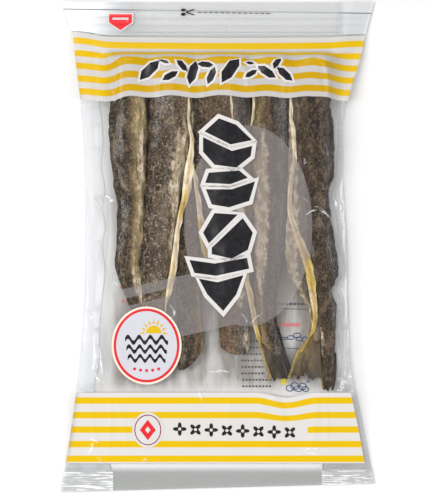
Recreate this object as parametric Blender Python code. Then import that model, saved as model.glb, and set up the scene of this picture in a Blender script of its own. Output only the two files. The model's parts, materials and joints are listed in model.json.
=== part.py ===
"""A sealed clear bag of dried fish, lying on its back.

One closed solid out to the bag's film: thin heat-sealed ends, a press-to-close zip across the
header, a gusset folded in along each side, and the headless fish as ridges under the front panel.
"""

import bmesh
import bpy
import numpy as np

# The frame, in metres: the bag lies on Z = 0 with its front up (+Z), its zip end towards +Y
# and its width along X. The origin is under the middle of the bag.

# ---- The bag's flat size and its outline as filled ---------------------------------------
BAG_LENGTH = 0.343
END_HALF_WIDTH = 0.1096
BOTTOM_SKEW = 0.0060          # how much higher the bottom edge is at its right end than at its left

# Y, and how far the left and the right side lie from the middle: the filling draws the sides in.
SIDE_STATIONS = (
    (-0.1715, END_HALF_WIDTH, END_HALF_WIDTH),
    (-0.1295, 0.1026, 0.1020),
    (-0.0945, 0.0977, 0.0950),
    (-0.0385, 0.0928, 0.0914),
    (0.0035, 0.0920, 0.0907),
    (0.0525, 0.0924, 0.0882),
    (0.0875, 0.0942, 0.0884),
    (0.1085, 0.0963, 0.0925),
    (0.1295, 0.0990, 0.0990),
    (0.1505, 0.1019, 0.1040),
    (0.1715, END_HALF_WIDTH, END_HALF_WIDTH),
)

# ---- Sealed ends, header and zip -----------------------------------------------------------
SEAL_THICKNESS = 0.0012
SEAL_LIFT = 0.0010            # how far the underside of a sealed end is off the floor
BOTTOM_SEAL = 0.0130          # lengths of the two flat seals
TOP_SEAL = 0.0080
HEADER_START = 0.1390         # Y where the header begins, above the cut ends of the fish
HEADER_HEIGHT = 0.0068        # height of the front panel there
ZIP_RIBS_Y = (0.1490, 0.1560)
ZIP_RIB_HEIGHT = 0.0009
ZIP_RIB_HALF_WIDTH = 0.0016

# ---- Side gussets and the back panel -------------------------------------------------------
CREASE_HEIGHT = 0.0112        # front edge of a gusset, beside the fish
BACK_CREASE_HEIGHT = 0.0020   # its back edge
GUSSET_DEPTH = 0.0120         # how far its inner fold lies in from the side
GUSSET_RUN = 0.0700           # length over which a gusset opens, from the seal
BACK_FLAT_SHARE = 0.70        # share of the half width over which the back lies on the floor
BACK_FLAT_Y = (-0.1000, 0.1180)

# ---- The fish: X at the cut head end, at half length and at the tail, half width, Y of the
# ---- tail, and height of the back's crown at the head end and at the tail ----------------------
HEAD_Y = 0.1250
FISH = (
    (-0.0610, -0.0640, -0.0560, 0.0150, -0.0900, 0.0215, 0.0085),
    (-0.0310, -0.0370, -0.0480, 0.0155, -0.0960, 0.0235, 0.0090),
    (-0.0080, -0.0120, -0.0185, 0.0110, -0.0800, 0.0215, 0.0110),
    (0.0090, 0.0120, 0.0130, 0.0160, -0.0800, 0.0240, 0.0120),
    (0.0370, 0.0390, 0.0420, 0.0140, -0.0970, 0.0230, 0.0095),
    (0.0670, 0.0740, 0.0765, 0.0130, -0.1030, 0.0220, 0.0080),
)
TAIL_WIDTH_SHARE = 0.50       # of the half width, at the tail
WIDEST_SHARE = 0.42           # height of a fish's widest line, as a share of its crown

# ---- The front panel as a film stretched over them ---------------------------------------------
FILM_CELL = 0.0025            # grid on which the film is relaxed
FILM_SAG = 20.0               # curvature that lets it sink between two fish, per metre
FILM_STEPS = 700
FILM_CLEARANCE = 0.0004
FILM_DROOP = 0.0022           # how far it may sink below the side creases where no fish lifts it
EDGE_RUN = 0.0180             # width over which the header's edges come down to their creases

# ---- Facets --------------------------------------------------------------------------------------
FRONT_POINTS = 46
BACK_POINTS = 9
SLOPE_STEP = 0.0025           # section spacing on the steep slope, and elsewhere
BODY_STEP = 0.0058


def clear_scene():
    for item in list(bpy.data.objects):
        bpy.data.objects.remove(item, do_unlink=True)


def ease(value):
    """0 to 1 with level ends."""
    held = np.clip(value, 0.0, 1.0)
    return held * held * (3.0 - 2.0 * held)


def smooth_through(stations, column, y):
    """A smooth curve through one column of the stations, read at y."""
    ys = np.array([row[0] for row in stations])
    values = np.array([row[column] for row in stations])
    slopes = np.gradient(values, ys)
    index = np.clip(np.searchsorted(ys, y) - 1, 0, len(ys) - 2)
    run = ys[index + 1] - ys[index]
    t = np.clip((y - ys[index]) / run, 0.0, 1.0)
    from_low = (1 + 2 * t) * (1 - t) ** 2 * values[index] + t * (1 - t) ** 2 * run * slopes[index]
    from_high = t * t * (3 - 2 * t) * values[index + 1] - t * t * (1 - t) * run * slopes[index + 1]
    return from_low + from_high


def side_x(y, side):
    """X of the bag's side: side is -1 on the left and 1 on the right."""
    return side * smooth_through(SIDE_STATIONS, 1 if side < 0 else 2, y)


def opening(y):
    """How far the bag is open at y: 0 at both seals, 1 along the fish."""
    from_bottom = (y + BAG_LENGTH / 2 - BOTTOM_SEAL) / GUSSET_RUN
    from_top = (BAG_LENGTH / 2 - TOP_SEAL - y) / GUSSET_RUN
    return ease(np.minimum(from_bottom, from_top))


def crease_height(y):
    sealed = SEAL_LIFT + SEAL_THICKNESS
    return sealed + (CREASE_HEIGHT - sealed) * opening(y)


def back_height(x, y):
    """Underside: flat on the floor under the fish, lifting a little to the sides and the ends."""
    half = np.where(x < 0, -side_x(y, -1), side_x(y, 1))
    past = (np.abs(x) / half - BACK_FLAT_SHARE) / (1 - BACK_FLAT_SHARE)
    crease = SEAL_LIFT + (BACK_CREASE_HEIGHT - SEAL_LIFT) * opening(y)
    below = (BACK_FLAT_Y[0] - y) / (BAG_LENGTH / 2 + BACK_FLAT_Y[0])
    above = (y - BACK_FLAT_Y[1]) / (BAG_LENGTH / 2 - BACK_FLAT_Y[1])
    end_lift = SEAL_LIFT * ease(np.maximum(below, above))
    return end_lift + (crease - end_lift) * ease(past)


def fish_height(x, y):
    """Height of the highest fish above (x, y), or 0 beside them."""
    highest = np.zeros(np.broadcast(x, y).shape)
    for head_x, middle_x, tail_x, half_width, tail_y, head_z, tail_z in FISH:
        along = (HEAD_Y - y) / (HEAD_Y - tail_y)
        middle_x = 2 * middle_x - (head_x + tail_x) / 2
        spine = (1 - along) ** 2 * head_x + 2 * along * (1 - along) * middle_x + along ** 2 * tail_x
        half = half_width * (1 - (1 - TAIL_WIDTH_SHARE) * np.clip(along, 0, 1) ** 2)
        crown = head_z + (tail_z - head_z) * np.clip(along, 0, 1)
        across = (x - spine) / half
        arch = np.sqrt(np.clip(1 - across ** 2, 0, 1))
        here = crown * (WIDEST_SHARE + (1 - WIDEST_SHARE) * arch)
        inside = (np.abs(across) < 1) & (along >= 0) & (along <= 1)
        highest = np.maximum(highest, np.where(inside, here, 0.0))
    return highest


def closed_height(x, y):
    """Front panel over the seals and the header, where no fish lifts it."""
    crease = crease_height(y)
    up_header = (BAG_LENGTH / 2 - TOP_SEAL - y) / (BAG_LENGTH / 2 - TOP_SEAL - HEADER_START)
    sealed = SEAL_LIFT + SEAL_THICKNESS
    middle = np.where(y > 0, sealed + (HEADER_HEIGHT - sealed) * ease(up_header), sealed)
    from_side = np.minimum(x - side_x(y, -1), side_x(y, 1) - x)
    return crease + (middle - crease) * ease(from_side / EDGE_RUN)


def relaxed_film():
    """The front panel's heights on a grid: held at the sides, seals and header, up over the fish."""
    xs = np.arange(-END_HALF_WIDTH, END_HALF_WIDTH + FILM_CELL, FILM_CELL)
    ys = np.arange(-BAG_LENGTH / 2, BAG_LENGTH / 2 + FILM_CELL, FILM_CELL)
    grid_x, grid_y = np.meshgrid(xs, ys)
    outside = (grid_x < side_x(grid_y, -1)) | (grid_x > side_x(grid_y, 1))
    sealed = (grid_y > HEADER_START) | (grid_y < -BAG_LENGTH / 2 + BOTTOM_SEAL)
    held = outside | sealed
    crease = crease_height(grid_y)
    held_at = np.where(sealed, closed_height(grid_x, grid_y), crease)
    flat = np.maximum(crease - FILM_DROOP, SEAL_LIFT + SEAL_THICKNESS)
    least = np.maximum(fish_height(grid_x, grid_y) + FILM_CLEARANCE, flat)
    film = np.where(held, held_at, np.maximum(least, crease))
    for _ in range(FILM_STEPS):
        around = np.pad(film, 1, mode="edge")
        mean = (around[:-2, 1:-1] + around[2:, 1:-1] + around[1:-1, :-2] + around[1:-1, 2:]) / 4
        lower = mean - FILM_SAG * FILM_CELL ** 2 / 4
        film = np.where(held, held_at, np.maximum(least, lower))
    return xs, ys, film


def read_grid(grid, x, y):
    xs, ys, values = grid
    across = np.clip((x - xs[0]) / FILM_CELL, 0, len(xs) - 1.001)
    along = np.clip((y - ys[0]) / FILM_CELL, 0, len(ys) - 1.001)
    column, row = across.astype(int), along.astype(int)
    u, v = across - column, along - row
    low = values[row, column] * (1 - u) + values[row, column + 1] * u
    high = values[row + 1, column] * (1 - u) + values[row + 1, column + 1] * u
    return low * (1 - v) + high * v


def zip_ribs(y):
    height = np.zeros(np.shape(y))
    for rib_y in ZIP_RIBS_Y:
        near = np.clip(1 - np.abs(y - rib_y) / ZIP_RIB_HALF_WIDTH, 0, 1)
        height = height + ZIP_RIB_HEIGHT * ease(near)
    return height


def section_places():
    """Y of each cross section, closer together on the steep slope and over the zip's ribs."""
    half = BAG_LENGTH / 2
    places = [-half, -half + BOTTOM_SEAL / 2]
    places += list(np.arange(-half + BOTTOM_SEAL, HEAD_Y - BODY_STEP / 2, BODY_STEP))
    places += list(np.arange(HEAD_Y, HEADER_START + SLOPE_STEP, SLOPE_STEP))
    for rib_y in ZIP_RIBS_Y:
        places += [rib_y + part * ZIP_RIB_HALF_WIDTH for part in (-1, -0.5, 0, 0.5, 1)]
    places += [(ZIP_RIBS_Y[1] + half - TOP_SEAL) / 2 + ZIP_RIB_HALF_WIDTH / 2, half - TOP_SEAL, half]
    return sorted(places)


def cross_section(place, film):
    """The ring of points of one section, from the left crease over the front and back round."""
    skew = BOTTOM_SKEW * ease(-place / (BAG_LENGTH / 2)) / (2 * END_HALF_WIDTH)
    left, right = float(side_x(place, -1)), float(side_x(place, 1))

    def level(x):
        return place + skew * (x + END_HALF_WIDTH)

    front_x = np.linspace(left, right, FRONT_POINTS)
    front_z = read_grid(film, front_x, np.full(FRONT_POINTS, place))
    front_z[[0, -1]] = float(crease_height(place))
    front_z = front_z + zip_ribs(place) * ease(np.minimum(front_x - left, right - front_x) / 0.012)
    back_x = np.linspace(right, left, BACK_POINTS)
    back_z = back_height(back_x, place)
    depth = GUSSET_DEPTH * float(opening(place))
    fold_z = (front_z[0] + back_z[0]) / 2

    ring = list(zip(front_x, front_z))
    ring.append((right - depth, fold_z))
    ring += list(zip(back_x, back_z))
    ring.append((left + depth, fold_z))
    return [(x, level(x), z) for x, z in ring]


def bag_material():
    material = bpy.data.materials.new("clear_film_over_fish")
    material.use_nodes = True
    shader = material.node_tree.nodes["Principled BSDF"]
    shader.inputs["Base Color"].default_value = (0.45, 0.41, 0.36, 1.0)
    shader.inputs["Roughness"].default_value = 0.25
    shader.inputs["Metallic"].default_value = 0.0
    return material


def build_bag():
    film = relaxed_film()
    mesh = bpy.data.meshes.new("bag")
    shell = bmesh.new()
    rings = [
        [shell.verts.new(point) for point in cross_section(place, film)]
        for place in section_places()
    ]
    for lower, upper in zip(rings, rings[1:]):
        for i in range(len(lower)):
            j = (i + 1) % len(lower)
            shell.faces.new((lower[i], lower[j], upper[j], upper[i]))
    shell.faces.new(reversed(rings[0]))
    shell.faces.new(rings[-1])
    bmesh.ops.recalc_face_normals(shell, faces=shell.faces)
    bmesh.ops.triangulate(shell, faces=shell.faces)
    shell.to_mesh(mesh)
    shell.free()
    mesh.shade_smooth()
    mesh.set_sharp_from_angle(angle=np.radians(40))
    mesh.materials.append(bag_material())
    bag = bpy.data.objects.new("bag", mesh)
    bpy.context.scene.collection.objects.link(bag)


clear_scene()
build_bag()
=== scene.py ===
import json
import math

import bmesh
import bpy
import numpy as np
from mathutils import Matrix, Vector, noise

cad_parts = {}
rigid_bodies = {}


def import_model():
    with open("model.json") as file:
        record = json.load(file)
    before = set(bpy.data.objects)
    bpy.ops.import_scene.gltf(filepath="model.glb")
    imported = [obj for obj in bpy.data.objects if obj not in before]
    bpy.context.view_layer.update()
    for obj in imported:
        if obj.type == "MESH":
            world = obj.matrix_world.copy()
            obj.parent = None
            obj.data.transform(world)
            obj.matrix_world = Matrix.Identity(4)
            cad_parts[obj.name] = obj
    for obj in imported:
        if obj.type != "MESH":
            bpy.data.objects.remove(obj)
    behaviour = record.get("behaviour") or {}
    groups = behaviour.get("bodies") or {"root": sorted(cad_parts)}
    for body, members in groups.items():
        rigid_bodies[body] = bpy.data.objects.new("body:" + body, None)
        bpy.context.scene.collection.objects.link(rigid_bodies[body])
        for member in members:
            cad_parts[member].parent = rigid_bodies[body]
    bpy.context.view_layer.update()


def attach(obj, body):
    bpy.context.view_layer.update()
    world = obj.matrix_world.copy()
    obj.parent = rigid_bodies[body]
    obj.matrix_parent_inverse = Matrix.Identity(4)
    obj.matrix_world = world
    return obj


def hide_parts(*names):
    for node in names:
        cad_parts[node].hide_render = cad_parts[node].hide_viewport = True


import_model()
MM = 0.001

# ---- The dried fish -------------------------------------------------------------------------
# Small cod, headless, gutted and dried stiff, packed side by side with their cut ends at the zip
# end. Each is a tube swept down its spine and shrivelled, with a hollow in the flesh of its cut end.
HEAD_Y = 131.0                 # where the cut ends lie, in mm

# Each station down a fish, in mm: Y, X of the spine, half width and height of the crown.
FISH = {
    "fish_1": ((131, -60.8, 14.2, 22.4), (103, -61.3, 14.6, 21.4), (72, -61.6, 14.4, 19.4),
               (48, -60.6, 12.6, 17.8), (30, -60.0, 10.8, 16.6), (5, -60.6, 10.2, 15.0),
               (-18, -61.2, 9.4, 13.2), (-28, -58.4, 8.8, 12.0), (-38, -54.6, 7.8, 11.0),
               (-60, -52.6, 6.2, 9.2), (-86, -52.0, 5.0, 7.5)),
    "fish_2": ((131, -31.4, 16.6, 23.2), (103, -31.6, 16.6, 23.0), (68, -34.0, 15.4, 21.4),
               (40, -36.8, 13.4, 19.4), (5, -41.4, 12.0, 16.6), (-23, -44.0, 11.2, 14.0),
               (-50, -46.0, 9.0, 11.5), (-90, -47.0, 6.2, 8.0)),
    "fish_3": ((131, -10.0, 9.0, 20.0), (90, -11.5, 9.4, 19.4), (60, -14.0, 9.0, 17.6),
               (28, -18.6, 8.6, 15.2), (0, -20.4, 8.0, 13.6), (-40, -19.6, 9.0, 12.4),
               (-70, -18.4, 9.6, 11.4), (-82, -18.2, 9.4, 10.8)),
    "fish_4": ((131, 5.6, 17.6, 23.4), (90, 6.2, 17.8, 23.0), (50, 8.4, 16.4, 21.0),
               (0, 10.4, 14.6, 17.6), (-40, 11.6, 12.2, 14.4), (-75, 12.0, 10.8, 12.0)),
    "fish_5": ((131, 37.8, 14.0, 22.6), (103, 38.0, 14.0, 22.0), (50, 37.4, 13.8, 19.4),
               (22, 37.0, 13.6, 17.4), (0, 36.2, 12.6, 15.8), (-22, 34.6, 9.8, 13.8),
               (-42, 33.6, 7.2, 12.2), (-54, 34.8, 7.0, 10.6), (-72, 39.2, 8.2, 7.6),
               (-92, 44.2, 8.8, 5.6)),
    "fish_6": ((131, 67.0, 12.2, 22.0), (103, 67.0, 12.2, 21.4), (68, 67.6, 14.0, 20.2),
               (50, 69.4, 11.9, 18.6), (37, 68.6, 9.8, 17.4), (26, 68.4, 10.8, 16.4),
               (5, 71.6, 10.4, 15.0), (-19, 74.4, 10.2, 13.2), (-31, 73.8, 6.6, 12.2),
               (-42, 76.2, 7.4, 11.4), (-54, 76.6, 6.6, 10.8), (-86, 77.4, 5.0, 7.6),
               (-97, 77.8, 5.4, 6.0)),
    "fish_7": ((131, 53.0, 6.6, 17.0), (90, 54.0, 8.0, 17.8), (60, 55.4, 9.6, 17.8),
               (20, 56.4, 10.4, 16.4), (0, 56.4, 10.6, 15.0), (-18, 57.8, 9.8, 13.4),
               (-32, 62.6, 7.0, 11.6), (-42, 66.6, 4.8, 10.4), (-54, 68.2, 4.4, 9.8),
               (-66, 69.6, 4.0, 9.0)),
}
WIDEST_SHARE = 0.42            # height of a fish's widest line, as a share of its crown
FISH_FLOOR = 0.8               # mm between its belly and the floor
AROUND, ALONG = 72, 230        # faces round and along a fish
PALE_PATCHES = {               # Y and its reach in mm, then place and reach across, -1 to 1
    "fish_1": ((50, 44, 0.60, 0.19), (-30, 16, 0.45, 0.5)),
    "fish_2": ((54, 36, 0.82, 0.68), (18, 26, 0.98, 0.34)),
    "fish_3": ((88, 18, -0.9, 0.4),),
    "fish_4": ((-64, 18, 1.75, 1.35), (0, 44, 0.35, 0.40)),
    "fish_5": ((20, 70, -0.5, 0.5),),
    "fish_6": ((-62, 26, -1.75, 1.35),),
    "fish_7": ((30, 90, -0.6, 0.7),),
}
END_SLANT = {"fish_3": 8.0, "fish_4": -1.5}     # mm that the tail end's right side is higher by
END_RUN, END_ROUNDING = 24.0, 4.0      # mm of the tail end that the slant takes in, and its rounding
RIM_SCALE, HOLLOW_DEPTH = (0.74, 1.0, 0.62), 7.0     # the hollow in a cut end: its size and mm of depth
ACROSS_POWER, BELLY_POWER, CROWN_POWER = 0.78, 0.7, 0.82     # under 1 is squarer than an ellipse
FOLD_DEPTH, WRINKLE_DEPTH, GRAIN_DEPTH, SHRINK = 1.15, 0.80, 0.30, 0.55      # mm
SEAM_WELD = 0.00002            # metres within which points of the tube's seam are merged


def smooth_through(stations, column, y):
    """A smooth curve through one column of stations sorted by Y, read at y."""
    rows = sorted(stations)
    ys = np.array([row[0] for row in rows], float)
    values = np.array([row[column] for row in rows], float)
    slopes = np.gradient(values, ys)
    index = np.clip(np.searchsorted(ys, y) - 1, 0, len(ys) - 2)
    run = ys[index + 1] - ys[index]
    t = np.clip((y - ys[index]) / run, 0, 1)
    low = (1 + 2 * t) * (1 - t) ** 2 * values[index] + t * (1 - t) ** 2 * run * slopes[index]
    high = t * t * (3 - 2 * t) * values[index + 1] - t * t * (1 - t) * run * slopes[index + 1]
    return low + high


def ease(value):
    """0 to 1 with level ends."""
    held = np.clip(value, 0, 1)
    return held * held * (3 - 2 * held)


def ridged(points, scale, seed):
    """Wrinkle noise at each point, -1 to 1, in creases a few scale units long."""
    shift = Vector((seed * 7.3, seed * 3.1, seed * 5.7))
    return np.array([noise.noise(Vector(p * scale) + shift) for p in points])


def read_points(mesh):
    """The mesh's points in metres, one in each row."""
    flat = np.empty(len(mesh.vertices) * 3, np.float32)
    mesh.vertices.foreach_get("co", flat)
    return flat.reshape(-1, 3).astype(float)


def write_points(mesh, points):
    mesh.vertices.foreach_set("co", points.astype(np.float32).ravel())
    mesh.update()


def add_attribute(mesh, name, values):
    made = mesh.attributes.new(name, "FLOAT", "POINT")
    made.data.foreach_set("value", np.asarray(values, np.float32))


def flat_grid(name, columns, rows):
    """A unit grid primitive with its UV map, for a skin that is then put in its place."""
    bpy.ops.object.select_all(action="DESELECT")
    bpy.ops.mesh.primitive_grid_add(x_subdivisions=columns, y_subdivisions=rows, size=1.0)
    made = bpy.context.object
    made.name = made.data.name = name
    return made


def pale_patch(name, y, across):
    """How far a point lies in its fish's pale patches, where belly skin or salt shows: 0 to 1."""
    share = np.zeros_like(y)
    for centre_y, reach_y, centre, reach in PALE_PATCHES.get(name, ()):
        off = np.hypot((y - centre_y) / reach_y, (across - centre) / reach)
        share = np.maximum(share, ease(1.25 - off))
    return share


def swept_fish(name, stations, seed):
    """One fish: a grid rolled into a tube down its spine, wrinkled, closed at both ends."""
    made = flat_grid(name, AROUND, ALONG)
    unit = read_points(made.data)
    turn = (unit[:, 0] + 0.5) * 2 * math.pi
    last_y = stations[-1][0]
    y = HEAD_Y + (last_y - HEAD_Y) * (0.5 - unit[:, 1])
    end = ease((last_y + END_RUN - y) / END_RUN)
    spine = smooth_through(stations, 1, y)
    half = smooth_through(stations, 2, y)
    crown = smooth_through(stations, 3, y)
    # the tube's seam runs down its belly, on the floor side
    across, up = -np.sin(turn), -np.cos(turn)
    across = np.sign(across) * np.abs(across) ** ACROSS_POWER
    widest = FISH_FLOOR + (crown - FISH_FLOOR) * WIDEST_SHARE
    below = np.sign(up) * np.abs(up) ** BELLY_POWER * (widest - FISH_FLOOR)
    rise = np.where(up > 0, np.abs(up) ** CROWN_POWER * (crown - widest), below)
    flank = np.stack([np.sign(across) * 3.0, y * 0.11, np.zeros_like(y)], 1)
    half = half * (1 + 0.055 * ridged(flank, 1.0, seed + 41) + 0.03 * ridged(flank, 3.1, seed + 43))

    # long shrivelled folds, then finer cross wrinkles, then the skin's grain
    arc = turn * half * 0.9
    lines = np.stack([arc * 0.17, y * 0.018, np.zeros_like(y)], 1)
    folds = ridged(lines, 1.0, seed) - 0.55 * np.abs(ridged(lines, 2.3, seed + 11))
    round_body = np.stack([half * across, y, rise], 1)
    wrinkles = ridged(round_body * (1.0, 0.45, 1.0), 0.30, seed + 23)
    grain = ridged(round_body, 0.85, seed + 31)
    swell = FOLD_DEPTH * folds + WRINKLE_DEPTH * wrinkles + GRAIN_DEPTH * grain
    swell *= ease((0.97 - (0.5 - unit[:, 1])) / 0.2)
    inward = 1 + (swell - SHRINK) / np.maximum(half, 3.0)
    slanted = y + end * (END_SLANT.get(name, 0.0) * across + END_ROUNDING * across ** 2)
    points = np.stack([spine + half * across * inward, slanted, widest + rise * inward], 1)
    points[:, 2] = np.maximum(points[:, 2], FISH_FLOOR)
    write_points(made.data, points * MM)
    add_attribute(made.data, "across", across)
    add_attribute(made.data, "pale", pale_patch(name, y, across))

    bpy.ops.object.mode_set(mode="EDIT")
    bpy.ops.mesh.select_all(action="SELECT")
    bpy.ops.mesh.remove_doubles(threshold=SEAM_WELD)
    bpy.ops.object.mode_set(mode="OBJECT")
    close_ends(made)
    bpy.ops.object.shade_smooth()
    return made


def close_ends(made):
    """Flesh at both ends: a rim round the gutted hollow at the cut, and flat at the tail."""
    shell = bmesh.new()
    shell.from_mesh(made.data)
    open_edges = [edge for edge in shell.edges if edge.is_boundary]
    bmesh.ops.holes_fill(shell, edges=open_edges, sides=0)
    caps = [face for face in shell.faces if len(face.verts) > 4]
    for cap in caps:
        cap.material_index = 1
        middle = cap.calc_center_median()
        if middle.y > (HEAD_Y - 20) * MM:
            hollow = bmesh.ops.extrude_discrete_faces(shell, faces=[cap])["faces"][0]
            bmesh.ops.scale(shell, verts=hollow.verts, vec=RIM_SCALE, space=Matrix.Translation(-middle))
            bmesh.ops.translate(shell, verts=hollow.verts, vec=(0, -HOLLOW_DEPTH * MM, 0))
    bmesh.ops.recalc_face_normals(shell, faces=shell.faces)
    shell.to_mesh(made.data)
    shell.free()


class Wire:
    """A socket of a material's nodes, so that maths on it is written as an expression."""

    def __init__(self, finish, socket):
        self.finish, self.socket = finish, socket

    def maths(self, operation, a, b=0.0):
        return self.finish.node("Math", {0: a, 1: b}, operation=operation)

    def __add__(self, other):
        return self.maths("ADD", self, other)

    def __radd__(self, other):
        return self.maths("ADD", other, self)

    def __sub__(self, other):
        return self.maths("SUBTRACT", self, other)

    def __rsub__(self, other):
        return self.maths("SUBTRACT", other, self)

    def __mul__(self, other):
        return self.maths("MULTIPLY", self, other)

    def __rmul__(self, other):
        return self.maths("MULTIPLY", other, self)

    def __truediv__(self, other):
        return self.maths("DIVIDE", self, other)

    def at_least(self, other):
        return self.maths("MAXIMUM", self, other)

    def at_most(self, other):
        return self.maths("MINIMUM", self, other)

    def size(self):
        return self.maths("ABSOLUTE", self)

    def near(self, centre, edge):
        """1 close to centre, fading to 0 between the two distances in edge."""
        return 1 - (self - centre).size().between(*edge)

    def between(self, low, high):
        """0 below low, 1 above high, and smooth in between."""
        ends = {"From Min": low, "From Max": high, "Value": self}
        return self.finish.node("MapRange", ends, interpolation_type="SMOOTHSTEP", clamp=True)


class Finish:
    """A new material, and the one way its nodes are added."""

    def __init__(self, name):
        self.material = bpy.data.materials.new(name)
        self.material.use_nodes = True
        self.tree = self.material.node_tree
        self.tree.nodes.clear()

    def node(self, kind, sockets=(), output=0, stops=(), **settings):
        made = self.tree.nodes.new("ShaderNode" + kind)
        for name, value in settings.items():
            setattr(made, name, value)
        for index, (place, shade) in enumerate(stops):
            element = made.color_ramp.elements[index] if index < 2 else made.color_ramp.elements.new(place)
            element.position = place
            element.color = (*shade, 1.0)
        for key, value in dict(sockets).items():
            if isinstance(value, Wire):
                self.tree.links.new(value.socket, made.inputs[key])
            else:
                made.inputs[key].default_value = value
        return Wire(self, made.outputs[output])

    def mix(self, share, first, second):
        """A mix of two colours."""
        return self.node("Mix", {0: share, 6: first, 7: second}, 2, data_type="RGBA")

    def place(self):
        return self.node("TexCoord", output=3)

    def stretched(self, vector, scale):
        return self.node("Mapping", {"Vector": vector, "Scale": scale})

    def grain(self, vector, scale, detail=4.0, roughness=0.55):
        sockets = {"Vector": vector, "Scale": scale, "Detail": detail, "Roughness": roughness}
        return self.node("TexNoise", sockets)

    def streaks(self, vector, along, scale, detail, roughness, low, high):
        """Noise scaled by along in Y, so that it is drawn out, and read from low to high as 0 to 1."""
        return self.grain(self.stretched(vector, (1, along, 1)), scale, detail, roughness).between(low, high)

    def attribute(self, name):
        return self.node("Attribute", output=2, attribute_name=name)

    def surface(self, **sockets):
        named = {key.replace("_", " "): value for key, value in sockets.items()}
        shader = self.node("BsdfPrincipled", named)
        end = self.tree.nodes.new("ShaderNodeOutputMaterial")
        self.tree.links.new(shader.socket, end.inputs["Surface"])
        return self.material


def shade(red, green, blue):
    """A colour given as it looks, 0 to 255, as Blender's linear values."""
    parts = [value / 255 for value in (red, green, blue)]
    return tuple(v / 12.92 if v <= 0.04045 else ((v + 0.055) / 1.055) ** 2.4 for v in parts)


def opaque(red, green, blue):
    return (*shade(red, green, blue), 1.0)


WRINKLE_WARP = 0.007           # metres by which the net of wrinkles is warped
SKIN_SPECULAR = 0.18           # the skin has dried almost matt


def dried_skin(name, tones, pale_specks):
    """Shrivelled skin: tones run from the fish's left flank to its right, blotched and flecked."""
    finish = Finish(name)
    place = finish.place()
    drift = finish.grain(finish.stretched(place, (1, 0.32, 1)), 110.0, 4.0, 0.6)
    across = finish.attribute("across") * 0.5 + 0.5 + (drift - 0.5) * 0.6
    tone = finish.node("ValToRGB", {"Fac": across}, stops=tones)
    blotch = finish.streaks(place, 0.45, 85.0, 5.0, 0.62, 0.37, 0.61)
    mottle = finish.streaks(place, 0.6, 300.0, 3.0, 0.62, 0.40, 0.60)
    fibre = finish.streaks(place, 0.13, 420.0, 3.0, 0.6, 0.36, 0.64)
    deep = finish.mix(0.82, tone, opaque(24, 15, 8))
    darker = tone
    for pattern, depth in ((blotch, 0.66), (mottle, 0.56), (fibre, 0.30)):
        darker = finish.mix(depth - depth * pattern, darker, deep)
    bloom = finish.streaks(place, 0.5, 150.0, 5.0, 0.70, 0.50, 0.66)
    speck = finish.streaks(place, 0.75, 640.0, 2.0, 0.6, 0.46, 0.66)
    darker = finish.mix(0.26 * bloom, darker, opaque(176, 152, 122))
    darker = finish.mix(0.13 * speck, darker, opaque(176, 156, 130))

    # the skin shrank into a net of fine wrinkles, paler on their crests
    warp = finish.node("TexNoise", {"Vector": place, "Scale": 150.0, "Detail": 3.0}, 1)
    warped = finish.node("VectorMath", {0: warp, 1: (WRINKLE_WARP,) * 3, 2: place},
                         operation="MULTIPLY_ADD")
    cells = finish.node("TexVoronoi", {"Vector": finish.stretched(warped, (1, 0.6, 1)), "Scale": 250.0},
                        feature="DISTANCE_TO_EDGE")
    patchy = finish.grain(place, 95.0, 3.0, 0.6).between(0.44, 0.60)
    wrinkle = (1 - cells.between(0.01, 0.11)) * (0.25 + 0.75 * patchy)
    veined = finish.mix(0.55 * pale_specks * wrinkle, darker, opaque(212, 190, 156))
    flecks = finish.grain(place, 620.0, 2.0, 0.6).between(0.58, 0.66)
    colour = finish.mix(0.55 * flecks * pale_specks, veined, opaque(236, 220, 196))
    patch = finish.attribute("pale") * 1.5 + (drift - 0.5) * 1.4 + (mottle - 0.5) * 0.4
    patch = patch.between(0.34, 1.05)
    belly = finish.mix(mottle, opaque(170, 149, 118), opaque(223, 206, 182))
    colour = finish.mix(0.88 * patch, colour, belly)
    creases = finish.grain(finish.stretched(place, (1, 0.6, 1)), 480.0, 4.0, 0.6)
    height = creases + 0.8 * blotch + 0.6 * mottle + 0.5 * fibre + 0.4 * wrinkle
    bump = finish.node("Bump", {"Height": height, "Strength": 1.0, "Distance": 0.0012})
    return finish.surface(Base_Color=colour, Roughness=0.50 - 0.2 * flecks,
                          Specular_IOR_Level=SKIN_SPECULAR, Normal=bump)


def cut_flesh():
    """The dried flesh of a cut end: amber brown, darker where it dried hardest."""
    finish = Finish("cut_flesh")
    place = finish.place()
    fibre = finish.grain(finish.stretched(place, (1, 0.4, 1)), 380.0, 5.0, 0.6)
    stops = ((0.30, shade(92, 66, 44)), (0.70, shade(176, 146, 102)))
    colour = finish.node("ValToRGB", {"Fac": fibre}, stops=stops)
    bump = finish.node("Bump", {"Height": fibre, "Strength": 0.5, "Distance": 0.0008})
    return finish.surface(Base_Color=colour, Roughness=0.55, Normal=bump)


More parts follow.
